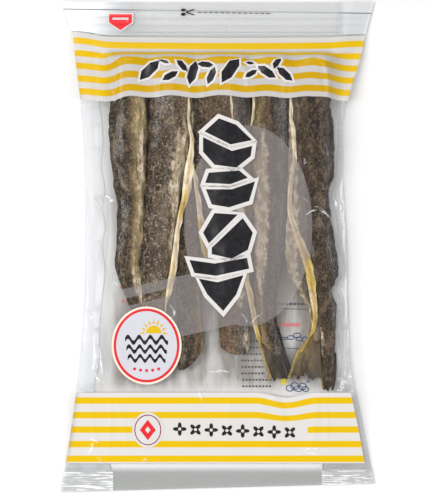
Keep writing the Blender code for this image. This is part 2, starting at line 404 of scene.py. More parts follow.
DARK, UMBER, BROWN, RUST = shade(55, 40, 27), shade(79, 61, 44), shade(116, 92, 66), shade(114, 87, 68)
OLIVE, TAN, STRAW = shade(170, 145, 98), shade(206, 184, 136), shade(232, 208, 160)
GREY, SLATE = shade(132, 119, 107), shade(100, 99, 104)
CREAM, MOSS = shade(238, 224, 196), shade(54, 37, 14)
SKIN_TONES = {                 # tones from the left flank to the right, then the share of pale specks
    "fish_1": (((0.0, MOSS), (0.26, MOSS), (0.46, UMBER), (0.62, OLIVE), (0.74, TAN), (0.88, TAN),
                (0.96, OLIVE), (1.0, UMBER)), 0.28),
    "fish_2": (((0.0, DARK), (0.34, UMBER), (0.56, GREY), (0.74, BROWN), (0.88, TAN), (1.0, CREAM)), 0.60),
    "fish_3": (((0.0, UMBER), (0.30, DARK), (0.60, UMBER), (0.85, BROWN), (1.0, TAN)), 0.30),
    "fish_4": (((0.0, BROWN), (0.18, RUST), (0.44, BROWN), (0.60, GREY), (0.80, SLATE), (1.0, GREY)), 0.30),
    "fish_5": (((0.0, TAN), (0.20, OLIVE), (0.36, BROWN), (0.54, DARK), (0.72, SLATE), (0.92, SLATE),
                (1.0, DARK)), 0.22),
    "fish_6": (((0.0, UMBER), (0.20, UMBER), (0.46, DARK), (0.70, UMBER), (0.88, SLATE), (1.0, DARK)), 0.16),
    "fish_7": (((0.0, STRAW), (0.16, TAN), (0.40, GREY), (0.75, GREY), (1.0, BROWN)), 0.20),
}
flesh = cut_flesh()
for number, (name, stations) in enumerate(FISH.items(), start=1):
    fish = swept_fish(name, stations, number)
    tones, pale_specks = SKIN_TONES[name]
    fish.data.materials.append(dried_skin(name + "_skin", tones, pale_specks))
    fish.data.materials.append(flesh)
    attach(fish, "root")

# ---- How the film lies ----------------------------------------------------------------------
# Laminated film 0.1 mm thick. It is held flat by the seals and the header, and elsewhere it is
# stretched over the fish, sinks a little between them, and has creases from packing.
HALF_LENGTH, HALF_WIDTH = 171.5, 109.6
BOTTOM_SKEW = 6.0              # how much higher the bottom edge is at its right end
SIDES = (                      # Y, and how far the left and the right side lie from the middle
    (-171.5, 109.6, 109.6), (-129.5, 102.6, 102.0), (-94.5, 97.7, 95.0), (-38.5, 92.8, 91.4),
    (3.5, 92.0, 90.7), (52.5, 92.4, 88.2), (87.5, 94.2, 88.4), (108.5, 96.3, 92.5),
    (129.5, 99.0, 99.0), (150.5, 101.9, 104.0), (171.5, 109.6, 109.6),
)
SEALED_HEIGHT = 2.0            # where both panels lie on each other
BOTTOM_SEAL, TOP_SEAL = 13.0, 8.0
HEADER_START, HEADER_HEIGHT = 136.6, 6.8
CREASE_HEIGHT = 11.0           # of the front panel's side creases along the fish
GUSSET_RUN = 70.0              # mm from a seal to where the gussets are fully open
ZIP_RIBS_Y = (154.0, 159.4)
ZIP_RIB_HEIGHT, ZIP_RIB_HALF_WIDTH = 0.9, 1.6
WAVE_HEIGHT = 0.35             # of the loose film's long waves
LOWEST_FILM, SEAL_PRESS = 1.75, 0.35   # the front panel's least height, and how far its ends are pressed
FILM_SAG = 0.014               # curvature that lets the film sink between two fish, per mm
MARGIN_SAG, MARGIN = 0.26, 26.0      # the same along the sides, where the film hugs the outer fish
FILM_DROOP = 2.2               # how far it may sink below the side creases
FILM_GAP, LEAST_GAP = 0.55, 0.12     # mm of film above the contents, before and after it is evened
RELAX_STAGES = ((4, 500), (2, 400), (1, 260))     # mm between grid points, and steps at that spacing
GRID_X, GRID_Y = 110, 172      # how far the grid of heights reaches from the middle
SMOOTH_PASSES = 4              # the film is too stiff to follow the grain of the skin under it
EDGE_RUN = 18.0                # mm from a side to where the closed film is flat

# Creases pressed into the film: from X, Y to X, Y, then height and half width, all in mm.
CREASES = (
    (-74, 138, -73, 102, 1.3, 4.0), (73, 138, 79, 100, 1.5, 4.5), (-73, 133, -69, 96, -0.7, 3.0),
    (72, 130, 74, 98, -0.7, 3.0), (-41, 126, -40, 104, 0.7, 3.0), (18, 128, 22, 108, 0.8, 2.6),
    (46, 126, 47, 104, 0.6, 3.0), (-10, 126, -9, 100, 0.5, 2.5),
    (-74, -98, -76, -150, 0.5, 1.7), (76, -100, 77, -150, 0.4, 1.7),
    (16, -45, 22, -55, 0.9, 1.2), (22, -55, 31, -46, 0.9, 1.2),
    (-19, -91, -9, -111, 0.9, 1.2), (-9, -88, 12, -88.5, 0.9, 1.4), (-5, -86, 5, -84.5, 0.6, 1.2),
    (-7.5, -95, -6.3, -100, 0.7, 1.1), (12, -91, 13, -97, 0.8, 1.2), (12, -96, 22, -90, 0.5, 1.2),
    (30, -80, 36.5, -97, 0.7, 1.1), (33, -79, 39, -99, 0.5, 1.0), (1.8, -67, -1, -74, 0.6, 1.1),
    (-1, -73, -2.5, -82, 0.5, 1.1), (61, 62, 60, 56, 0.8, 1.4), (60, 35, 63, 30, 0.8, 1.2),
    (60, 22, 70, 27, 1.0, 1.2), (70, 27, 80, 19, 1.0, 1.2), (64, 30, 78, 24, 0.7, 1.1),
    (79, 40, 84, 26, 0.8, 1.2), (83, 34, 88, 24, 0.9, 1.2), (84, 20, 88, 12, 0.6, 1.1),
    (84, 86, 86, 82, 0.7, 1.3), (86, -20, 84, -26, 0.5, 1.1), (87, -40, 85, -46, 0.5, 1.1),
    (-78, 37, -73, 31, 0.9, 1.4), (-77, 30, -71, 34, 0.8, 1.2), (-73, 36, -69, 22, 0.45, 1.1),
    (-69, 22, -68.3, -2, 0.4, 1.1), (-68.3, -2, -70.4, -24, 0.45, 1.1), (-71, -16, -73, -24, 0.8, 1.1),
    (-72, -24, -69, -30, 0.8, 1.1), (-92, -8, -75, -17, 0.4, 1.1), (-86, 36, -82, 27, 0.7, 1.3),
    (-34, -38, -28, -50, 0.8, 1.4), (-29, -44, -33, -52, 0.6, 1.2), (20, -62, 18, -70, 0.5, 1.2),
    (-90, -42, -86, -54, 0.8, 1.6), (-86, -54, -85, -90, 0.8, 1.5), (-85, -90, -79, -99, 0.7, 1.5),
    (-83, -62, -79, -96, 0.7, 1.4), (-86, -74, -80, -84, 0.4, 1.2), (-88, -80, -81, -97, 0.5, 1.2),
    (-88, 60, -86, 10, 0.8, 2.2), (-84, 96, -82, 48, 0.7, 2.4), (-90, 20, -87, -34, 0.8, 2.2),
    (82, 88, 83, 44, 0.8, 2.2), (86, 10, 85, -52, 0.8, 2.2), (88, -48, 90, -92, 0.7, 2.0),
    (-90, -134, -82, -138, 0.7, 1.4), (-86, -136, -90, -148, 0.6, 1.3), (-84, -147, -81, -151, 0.7, 1.1),
    (60, -147, 66, -144.5, 0.7, 1.2), (66, -144.5, 72, -147, 0.7, 1.2), (60, -148, 72, -150, 0.7, 1.2),
    (74, -146, 79, -149, 0.6, 1.1), (49, -134, 54, -130, 0.8, 1.2), (-53, -150.5, -48, -150, 0.7, 1.1),
    (54, -149, 60, -149.5, 0.6, 1.1), (82, -96, 90, -94, 0.8, 1.4), (88, -100, 94, -92, 0.8, 1.4),
    (48, -100, 36, -112, 0.5, 3.0), (-60, -100, -36, -96, 0.6, 2.6), (-30, -90, -22, -104, 0.6, 2.0),
    (14, -92, 30, -100, 0.5, 2.4), (34, -88, 44, -104, 0.6, 2.2), (24, -76, 20, -96, 0.5, 1.8),
    (-14, -62, -12, -98, 0.6, 2.4), (-5, -58, -4, -96, 0.6, 2.4), (3, -90, 5, -108, 0.5, 2.2),
    (-90, -104, -84, -150, 0.5, 4.0), (-70, -103, -61, -150, 0.5, 5.0), (-40, -104, -52, -148, 0.4, 4.5),
    (10, -103, 4, -150, 0.4, 5.5), (30, -104, 36, -150, 0.35, 4.5), (44, -102, 52, -132, -0.8, 5.0),
    (70, -104, 66, -150, 0.5, 5.0), (-20, -155, -34, -171, 0.35, 4.0), (20, -155, 8, -171, 0.35, 4.0),
    (52, -156, 40, -171, 0.3, 4.0), (-22, 162, -40, 163, 0.5, 1.2), (-42, 163, -60, 160, 0.4, 1.2),
    (-36, 158, -32, 155, 0.6, 1.3),
)


def side_x(y, side):
    """X of the bag's side: side is -1 on the left and 1 on the right."""
    return side * smooth_through(SIDES, 1 if side < 0 else 2, y)


def opening(y):
    """How far the bag is open at y: 0 at both seals, 1 along the fish."""
    from_bottom = (y + HALF_LENGTH - BOTTOM_SEAL) / GUSSET_RUN
    from_top = (HALF_LENGTH - TOP_SEAL - y) / GUSSET_RUN
    return ease(np.minimum(from_bottom, from_top))


def from_sides(x, y):
    """How far a point is from the nearer side of the bag."""
    return np.minimum(x - side_x(y, -1), side_x(y, 1) - x)


def crease_height(y):
    return SEALED_HEIGHT + (CREASE_HEIGHT - SEALED_HEIGHT) * opening(y)


def closed_height(x, y):
    """The film over the seals and the header, where no fish lifts it."""
    crease = crease_height(y)
    up_header = (HALF_LENGTH - TOP_SEAL - y) / (HALF_LENGTH - TOP_SEAL - HEADER_START)
    header = SEALED_HEIGHT + (HEADER_HEIGHT - SEALED_HEIGHT) * ease(up_header)
    middle = np.where(y > 0, header, SEALED_HEIGHT)
    return crease + (middle - crease) * ease(from_sides(x, y) / EDGE_RUN)


def height_map(pieces, cell):
    """The highest point of the bag's contents in and beside each cell of a grid, 0 where none."""
    columns, rows = int(2 * GRID_X / cell) + 1, int(2 * GRID_Y / cell) + 1
    highest = np.zeros((rows, columns))
    for piece in pieces:
        points = read_points(piece.data) / MM
        column = np.clip(((points[:, 0] + GRID_X) / cell).round().astype(int), 1, columns - 2)
        row = np.clip(((points[:, 1] + GRID_Y) / cell).round().astype(int), 1, rows - 2)
        for step_x, step_y in ((0, 0), (1, 0), (-1, 0), (0, 1), (0, -1)):
            np.maximum.at(highest, (row + step_y, column + step_x), points[:, 2])
    return highest


def neighbours(values):
    """The mean of each grid point's four neighbours."""
    around = np.pad(values, 1, mode="edge")
    return (around[:-2, 1:-1] + around[2:, 1:-1] + around[1:-1, :-2] + around[1:-1, 2:]) / 4


def relaxed_film(pieces):
    """Grids of 1 mm: the film's height, relaxed from coarse to fine over the contents, and its least."""
    film = None
    for cell, steps in RELAX_STAGES:
        xs, ys = (np.arange(-reach, reach + cell, cell, float) for reach in (GRID_X, GRID_Y))
        contents = height_map(pieces, cell)
        xs, ys = xs[:contents.shape[1]], ys[:contents.shape[0]]
        grid_x, grid_y = np.meshgrid(xs, ys)
        outside = (grid_x < side_x(grid_y, -1)) | (grid_x > side_x(grid_y, 1))
        sealed = (grid_y > HEADER_START) | (grid_y < -HALF_LENGTH + BOTTOM_SEAL)
        crease = crease_height(grid_y)
        held_at = np.where(sealed, closed_height(grid_x, grid_y), crease)
        least = np.maximum(contents + FILM_GAP, np.maximum(crease - FILM_DROOP, SEALED_HEIGHT))
        film = crease if film is None else read_grid(film, grid_x, grid_y)
        sag = FILM_SAG + (MARGIN_SAG - FILM_SAG) * ease((MARGIN - from_sides(grid_x, grid_y)) / 8)
        for _ in range(steps):
            lower = neighbours(film) - sag * cell ** 2 / 4
            film = np.where(outside | sealed, held_at, np.maximum(least, lower))
        film = (cell, xs, ys, film)
    for _ in range(SMOOTH_PASSES):
        film = (*film[:3], np.where(outside | sealed, held_at, (film[3] + neighbours(film[3])) / 2))
    return film, (cell, xs, ys, contents + LEAST_GAP)


def read_grid(grid, x, y):
    """A grid's height at any point, read between its own points."""
    cell, xs, ys, values = grid
    across = np.clip((x - xs[0]) / cell, 0, len(xs) - 1.001)
    along = np.clip((y - ys[0]) / cell, 0, len(ys) - 1.001)
    column, row = across.astype(int), along.astype(int)
    u, v = across - column, along - row
    low = values[row, column] * (1 - u) + values[row, column + 1] * u
    high = values[row + 1, column] * (1 - u) + values[row + 1, column + 1] * u
    return low * (1 - v) + high * v


def creased(x, y, creases):
    """What the creases add to the film: sharp ridges that fade out at both ends."""
    total = np.zeros_like(x)
    for x0, y0, x1, y1, height, half_width in creases:
        length = math.hypot(x1 - x0, y1 - y0)
        ux, uy = (x1 - x0) / length, (y1 - y0) / length
        along = ((x - x0) * ux + (y - y0) * uy) / length
        off = np.abs((y - y0) * ux - (x - x0) * uy + 0.35 * np.sin(along * 9.0))
        fade = ease(along / 0.35 + 0.15) * ease((1 - along) / 0.35 + 0.15)
        total += height * np.clip(1 - off / half_width, 0, 1) ** 1.4 * fade
    return total


def film_height(x, y):
    """Height of the finished front panel, in mm."""
    ribs = sum(ease(1 - np.abs(y - rib_y) / ZIP_RIB_HALF_WIDTH) for rib_y in ZIP_RIBS_Y)
    from_side = from_sides(x, y)
    waves = WAVE_HEIGHT * np.sin(x * 0.21 + 1.3 * np.sin(y * 0.05)) * np.sin(y * 0.035 + 0.7)
    loose = ease((y + HALF_LENGTH - BOTTOM_SEAL) / 25) * ease((HEADER_START - y) / 20)
    added = (creased(x, y, CREASES) + waves * loose) * ease(from_side / 3.0)
    added += ZIP_RIB_HEIGHT * ribs * ease(from_side / 10.0)
    seal = np.minimum((y + HALF_LENGTH - 0.03 * x) / 3.0, (HALF_LENGTH - y) / 3.0)
    lifted = np.maximum(read_grid(film, x, y) + added, LOWEST_FILM) - SEAL_PRESS * (1 - ease(seal))
    return np.maximum(lifted, read_grid(held_up, x, y))


# the film is laid over the fish here, and again once the flaps and fins are in
film, held_up = relaxed_film([item for item in bpy.data.objects if item.name.startswith("fish_")])

# ---- The belly flaps and the tail fins ------------------------------------------------------
# Where a fish was slit, the edge of its belly dried into a curled cream strip that lies along it.
# The tail fins dried flat, with rays that end in a ragged edge.
FLAP_RISE = 0.9                # mm from the fish to a flap's crest
FLAP_COLUMNS, FLAP_STEP = 12, 0.8      # faces across a flap, and mm between its rows
FLAP_ROLL, FLAP_FLUTTER = 1.1, 0.3     # mm by which its edges roll down, and of ripple along it
FLAP_THICKNESS, FIN_THICKNESS = 0.7, 0.6
FLAPS = {                      # X, Y and width in mm down each flap, and how amber it is there
    "belly_flap_1": ((-19.4, 112, 1.8, 0.0), (-19.6, 86, 2.2, 0.0), (-17.6, 72, 3.0, 0.0),
                     (-19.0, 60, 5.2, 0.0), (-20.6, 46, 6.4, 0.1), (-22.4, 34, 5.0, 0.5),
                     (-25.0, 25, 4.0, 0.7), (-27.2, 14, 3.6, 0.2), (-29.4, -5, 4.4, 0.3),
                     (-31.4, -20, 5.0, 0.4), (-34.0, -32, 4.2, 0.2), (-36.8, -46, 3.4, 0.2)),
    "belly_flap_2": ((-17.0, 58, 1.8, 0.0), (-15.4, 48, 3.0, 0.0), (-13.6, 36, 3.6, 0.0),
                     (-12.2, 24, 4.0, 0.1), (-10.8, 12, 5.0, 0.9), (-9.0, 1, 5.6, 1.0),
                     (-7.6, -10, 3.0, 0.8)),
    "belly_flap_3": ((9.4, 112, 1.2, 0.0), (9.8, 98, 1.6, 0.0), (10.6, 88, 1.0, 0.0)),
    "belly_flap_4": ((24.9, 112, 1.6, 0.0), (25.2, 100, 1.8, 0.0), (23.4, 84, 1.4, 0.0)),
    "belly_flap_5": ((51.0, 112, 2.2, 0.1), (51.0, 92, 2.8, 0.0), (52.9, 76, 3.0, 0.0),
                     (53.4, 62, 3.0, 0.0), (51.4, 48, 3.2, 0.0), (50.2, 34, 3.4, 0.0),
                     (51.2, 21, 4.2, 0.2), (54.6, 11, 5.0, 0.3), (58.6, 0, 6.2, 0.5),
                     (62.4, -10, 6.8, 0.7), (65.0, -23, 6.0, 0.8), (66.6, -35, 5.0, 0.5),
                     (68.0, -48, 3.8, 0.7), (66.8, -58, 3.0, 0.8), (62.8, -67, 2.2, 0.9),
                     (57.6, -76, 1.6, 1.0)),
    "belly_flap_6": ((17.0, -8, 2.6, 0.2), (19.6, -20, 3.8, 0.3), (22.4, -32, 4.2, 0.4),
                     (24.8, -46, 3.6, 0.5), (27.0, -58, 3.2, 0.6), (29.6, -70, 2.4, 0.8)),
}


def flap_finish():
    """Dried belly skin: cream, lighter at its edges, amber where the fat dried in it."""
    finish = Finish("belly_flap")
    place = finish.place()
    drift = finish.grain(finish.stretched(place, (1, 0.16, 1)), 220.0, 3.0)
    across = finish.attribute("across").size() + (drift - 0.5) * 0.9
    stops = ((0.05, shade(206, 178, 132)), (0.45, shade(232, 214, 180)), (0.85, shade(244, 234, 214)))
    cream = finish.node("ValToRGB", {"Fac": across}, stops=stops)
    fat = finish.mix(across.at_most(1.0), opaque(172, 134, 44), opaque(226, 200, 118))
    share = (finish.attribute("amber") * 1.3 + (drift - 0.5) * 1.2).between(0.25, 0.95)
    tone = finish.mix(share, cream, fat)
    stain = finish.grain(finish.stretched(place, (1, 0.5, 1)), 420.0, 4.0).between(0.50, 0.70)
    colour = finish.mix(0.42 * stain, tone, opaque(140, 112, 74))
    bump = finish.node("Bump", {"Height": stain + drift, "Strength": 0.5, "Distance": 0.0007})
    return finish.surface(Base_Color=colour, Roughness=0.45, Normal=bump)


def belly_flap(name, stations):
    """A strip rolled over along its length, its crest just under the film."""
    length = abs(stations[0][1] - stations[-1][1])
    made = flat_grid(name, FLAP_COLUMNS, int(length / FLAP_STEP))
    unit = read_points(made.data)
    across = unit[:, 0] * 2
    y = stations[0][1] + (stations[-1][1] - stations[0][1]) * (0.5 - unit[:, 1])
    rows = [(stop[1], stop[0], *stop[2:]) for stop in stations]
    level = np.zeros_like(y)
    wander = ridged(np.stack([y * 0.14, level, level], 1), 1.0, len(name) + length)
    tapered = 0.25 + 0.75 * ease((0.5 - np.abs(unit[:, 1])) * 9)
    half = smooth_through(rows, 2, y) / 2 * (1 + 0.25 * wander) * tapered
    x = smooth_through(rows, 1, y) + 0.5 * wander + half * across
    roll = FLAP_ROLL * across ** 2 + FLAP_FLUTTER * np.sin(across * 4 + y * 0.4)
    z = read_grid(film, x, y) - FILM_GAP + FLAP_RISE - roll
    write_points(made.data, np.stack([x, skewed(x, y), z], 1) * MM)
    add_attribute(made.data, "across", across)
    add_attribute(made.data, "amber", smooth_through(rows, 3, y))
    thicken(made, FLAP_THICKNESS)
    made.data.materials.append(flap_skin)
    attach(made, "root")


def thicken(made, thickness):
    """Gives a strip or a fin its thickness, downwards, and smooths its shading."""
    wall = made.modifiers.new("wall", "SOLIDIFY")
    wall.thickness, wall.offset = thickness * MM, -1
    bpy.ops.object.select_all(action="DESELECT")
    made.select_set(True)
    bpy.context.view_layer.objects.active = made
    bpy.ops.object.modifier_apply(modifier=wall.name)
    bpy.ops.object.shade_smooth()


def skewed(x, y):
    """Y moved up towards the right end of the slanting bottom edge."""
    return y + BOTTOM_SKEW * ease(-y / HALF_LENGTH) * (x + HALF_WIDTH) / (2 * HALF_WIDTH)


flap_skin = flap_finish()
for name, stations in FLAPS.items():
    belly_flap(name, stations)

ROOT_SINK = 0.42               # height of a fin's root, as a share of its own
FIN_UNDER_FILM, FIN_LOWEST = 1.3, 1.6
FINS = {                       # left and right edge from root to tip, rays, height, left and right tint
    "tail_fin_7": (((67.0, -50), (62.6, -64), (54.6, -74), (49.0, -90)),
                   ((70.6, -50), (71.4, -66), (72.0, -80), (72.6, -91)), 15, 10.6,
                   (shade(142, 122, 66), shade(104, 82, 54))),
    "tail_fin_5": (((27.0, -56), (29.6, -70), (32.6, -82), (36.6, -94)),
                   ((42.6, -56), (46.4, -70), (49.4, -82), (51.6, -90)), 11, 9.0,
                   (shade(86, 71, 54), shade(66, 55, 48))),
    "tail_fin_6": (((71.2, -74), (71.4, -84), (72.2, -92), (73.6, -100)),
                   ((82.8, -74), (82.8, -84), (82.2, -92), (80.6, -98)), 9, 7.8,
                   (shade(92, 78, 60), shade(80, 68, 56))),
}


def fin_finish(name, left_tint, right_tint):
    """A dried fin: dark rays with lighter skin between them, a yellow left edge and a dark tip."""
    finish = Finish(name)
    place = finish.place()
    rays, from_left = finish.attribute("ray"), finish.attribute("from_left")
    mottle = finish.grain(finish.stretched(place, (1, 0.4, 1)), 360.0, 4.0, 0.65)
    skin = finish.mix((from_left + (mottle - 0.5) * 0.7).between(0.1, 0.8),
                      (*left_tint, 1.0), (*right_tint, 1.0))
    deep = finish.mix(0.7, skin, opaque(24, 18, 12))
    colour = finish.mix((rays * 0.5 + mottle * 1.2 - 0.45).between(0.0, 1.0), skin, deep)
    tip = (finish.attribute("to_tip") + (mottle - 0.5) * 0.5).between(0.55, 1.05)
    colour = finish.mix(0.75 * tip, colour, opaque(50, 42, 34))
    edge = 1 - (from_left + (mottle - 0.5) * 0.12).between(0.02, 0.14)
    colour = finish.mix(0.7 * edge, colour, opaque(196, 168, 92))
    bump = finish.node("Bump", {"Height": rays + mottle, "Strength": 0.6, "Distance": 0.0005})
    return finish.surface(Base_Color=colour, Roughness=0.55, Normal=bump)


def tail_fin(name, left, right, rays, height, tints):
    """A fan between two edges, with a ridge on each ray and a ragged tip."""
    made = flat_grid(name, rays * 6, 44)
    unit = read_points(made.data)
    u, v = unit[:, 0] + 0.5, 0.5 - unit[:, 1]
    steps = np.linspace(0, 1, len(left))
    left_x, left_y = (np.interp(v, steps, [point[i] for point in left]) for i in (0, 1))
    right_x, right_y = (np.interp(v, steps, [point[i] for point in right]) for i in (0, 1))
    level = np.zeros_like(u)
    ragged = ridged(np.stack([np.floor(u * rays) * 0.71, level, level], 1), 1.0, rays)
    reach = 1 + 0.16 * ragged * ease(v * 1.6 - 0.6)
    x = left_x + (right_x - left_x) * u
    y = left[0][1] + (left_y + (right_y - left_y) * u - left[0][1]) * reach
    ray = 0.5 + 0.5 * np.cos(u * rays * 2 * math.pi)
    under_film = np.maximum(film_height(x, y) - FIN_UNDER_FILM, FIN_LOWEST)
    # the root starts inside the fish and comes out of it towards the tip
    crest = height * (1 - 0.35 * v) * (ROOT_SINK + (1 - ROOT_SINK) * ease(v / 0.55))
    z = np.minimum(crest + 0.7 * np.sin(u * 5 + v * 3) + 0.5 * ray, under_film)
    write_points(made.data, np.stack([x, y, z], 1) * MM)
    add_attribute(made.data, "ray", ray)
    add_attribute(made.data, "from_left", u)
    add_attribute(made.data, "to_tip", v)
    thicken(made, FIN_THICKNESS)
    made.data.materials.append(fin_finish(name + "_skin", *tints))
    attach(made, "root")


for name, fin in FINS.items():
    tail_fin(name, *fin)

CONTENTS = ("fish_", "belly_flap_", "tail_fin_")
film, held_up = relaxed_film([item for item in bpy.data.objects if item.name.startswith(CONTENTS)])

# ---- The zip --------------------------------------------------------------------------------
# Two ribs of milky polyethylene that press into a groove, on a flange whose lower edge is welded
# across the inside of the header. They run between the two gussets.
ZIP_LINES = {                  # lowest and highest Y of each line, and the light that it scatters
    "zip_weld": (148.2, 149.6, 0.60),
    "zip_rib_low": (153.2, 154.8, 0.14),
    "zip_rib_high": (158.6, 160.2, 0.14),
}
ZIP_INSET, ZIP_UNDER_FILM, ZIP_THICKNESS = 15.6, 0.40, 0.3


def zip_finish(name, share):
    """Milky plastic, cloudy along its length."""
    finish = Finish(name)
    cloud = finish.grain(finish.stretched(finish.place(), (0.3, 1, 1)), 90.0, 3.0).between(0.3, 0.7)
    bump = finish.node("Bump", {"Height": cloud, "Strength": 0.2, "Distance": 0.0004})
    return finish.surface(Base_Color=opaque(240, 243, 245), Roughness=0.3,
                          Alpha=share * (0.7 + 0.6 * cloud), Normal=bump)


for name, (low_y, high_y, share) in ZIP_LINES.items():
    zip_line = flat_grid(name, 120, 4)
    unit = read_points(zip_line.data)
    y = low_y + (high_y - low_y) * (unit[:, 1] + 0.5)
    left, right = side_x(y, -1) + ZIP_INSET, side_x(y, 1) - ZIP_INSET
    x = left + (right - left) * (unit[:, 0] + 0.5)
    write_points(zip_line.data, np.stack([x, y, film_height(x, y) - ZIP_UNDER_FILM], 1) * MM)
    thicken(zip_line, ZIP_THICKNESS)
    zip_line.data.materials.append(zip_finish(name + "_plastic", share))
    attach(zip_line, "root")

# ---- The front panel ------------------------------------------------------------------------
# Clear laminated film, reverse printed: a white band with yellow stripes at each end, and frosted
# shapes between them. It is heat-sealed to the back at both ends.
PANEL_COLUMNS, PANEL_ROWS = 210, 380
STEP_SLACK = 3.4               # mm of film that is tucked in where it steps up onto the fish
LEFT_PULL, RIGHT_PULL = 3.8, 1.8     # mm by which the sides of the film are pulled towards the zip
PULL_RUN = 26.0                # mm from a side to where the film isn't pulled
SHARP_CREASE = 1.6             # creases up to this half width whiten the film: partly its own stress whitening, partly painted glints
FILM_ROUGHNESS = 0.13
EVENED_STRIPES, EVENED_LADEN = 90, (12, 6)     # passes that even out what the print follows

# How much light each part of the film scatters or stops, as a share.
HAZE, HEADER_HAZE, TOP_SEAL_HAZE, SEAL_HAZE = 0.009, 0.20, 0.06, 0.54
# The header's near-white ends are a painted sheen, a painted reflection of the light.
EDGE_HAZE, HEADER_SHEEN_HAZE, TEAR_HAZE = 0.14, 0.80, 0.2
FROST_COVER, CRIMP_COVER, CREASE_COVER = 0.37, 0.92, 0.7
TOP_WHITE_COVER, LOW_WHITE_COVER, YELLOW_COVER = 0.86, 0.98, 0.97

# Each pair is the two places between which an edge of the print or of a seal fades. They are in mm:
# down the film from its top edge for the top band and the header, in from the right side for
# LOW_BAND_RIGHT, and in X and Y for the rest, apart from OVAL_EDGE, which is a share.
TOP_BAND_UPPER, TOP_BAND_LOWER = (26.3, 26.8), (75.2, 75.9)
TOP_STRIPE, TOP_STRIPE_PITCH, TOP_STRIPE_EDGE = 32.75, 9.2, (2.1, 2.5)
LOW_BAND_UPPER, LOW_BAND_LOWER, LOW_BAND_RIGHT = (-101.8, -101.2), (-151.8, -151.0), (3.6, 4.2)
LOW_STRIPE, LOW_STRIPE_PITCH, LOW_STRIPE_EDGE = -107.1, 10.25, (2.05, 2.45)
DIP_X, DIP_Y, DIP_REACH_X, DIP_REACH_Y, DIP_DEPTH = 48.0, -108.0, 22.0, 30.0, 3.6
GAP_LEFT, GAP_RIGHT, GAP_Y, GAP_EDGE = (-59.8, -59.3), (62.7, 63.2), -127.5, (4.2, 4.6)
OVAL_X, OVAL_Y, OVAL_HALF_WIDTH, OVAL_HALF_HEIGHT, OVAL_EDGE = 21.4, 14.6, 44.6, 70.0, (0.975, 1.01)
RIBBON_X, RIBBON_Y, RIBBON_COS, RIBBON_SIN = -22.8, -40.6, 0.974, 0.225
RIBBON_ENDS, RIBBON_SIDES = (47.0, 47.8), (20.4, 21.0)
SLOT_RUN, SLOT_DROP, SLOT_ENDS, SLOT_SIDES = -23.2, 11.2, (15.4, 16.0), (2.4, 3.0)
HEADER_EDGE, TOP_SEAL_EDGE = (25.0, 26.5), (163.0, 163.8)
SEAL_EDGE, CRIMP_EDGE = (-158.2, -152.5), (72.5, 73.5)
TEAR_Y, TEAR_SLOPE, TEAR_EDGE = 164.9, 0.014, (0.15, 0.6)
# The header's painted sheen: where it fades in at the left and at the right, and its share at the right.
SHEEN_LEFT, SHEEN_RIGHT, SHEEN_RIGHT_SHARE = (-100.0, -40.0), (82.0, 90.0), 0.62


def glossy_bump(finish, place):
    """Fine ripples of thin film, and a few longer waves."""
    fine = finish.grain(finish.stretched(place, (1, 0.5, 1)), 120.0, 3.0, 0.5)
    wave = finish.grain(finish.stretched(place, (1, 0.35, 1)), 34.0, 1.0, 0.4)
    return finish.node("Bump", {"Height": wave + 0.14 * fine, "Strength": 0.5, "Distance": 0.0016})


def film_gloss(finish):
    """The share of light that the film mirrors, alike from both of its sides."""
    facing = finish.node("LayerWeight", {"Blend": 0.5}, 1)
    return 0.018 + 0.55 * facing.maths("POWER", facing, 5.0)


def clear_film(name, haze, tint):
    """Unprinted film: see-through, a little hazy, with a mirror gloss that grows with the angle."""
    finish = Finish(name)
    gloss = film_gloss(finish)
    shown = gloss + haze(finish)
    bump = glossy_bump(finish, finish.place())
    return finish.surface(Base_Color=opaque(*tint), Roughness=FILM_ROUGHNESS, Metallic=gloss / shown,
                          Alpha=shown.at_most(1.0), Normal=bump)


def wrapped(finish, value, centre, pitch):
    """Distance from value to the nearest of the lines at centre plus any number of pitches."""
    return finish.node("Math", {0: value - centre, 1: pitch / 2, 2: -pitch / 2}, operation="WRAP").size()


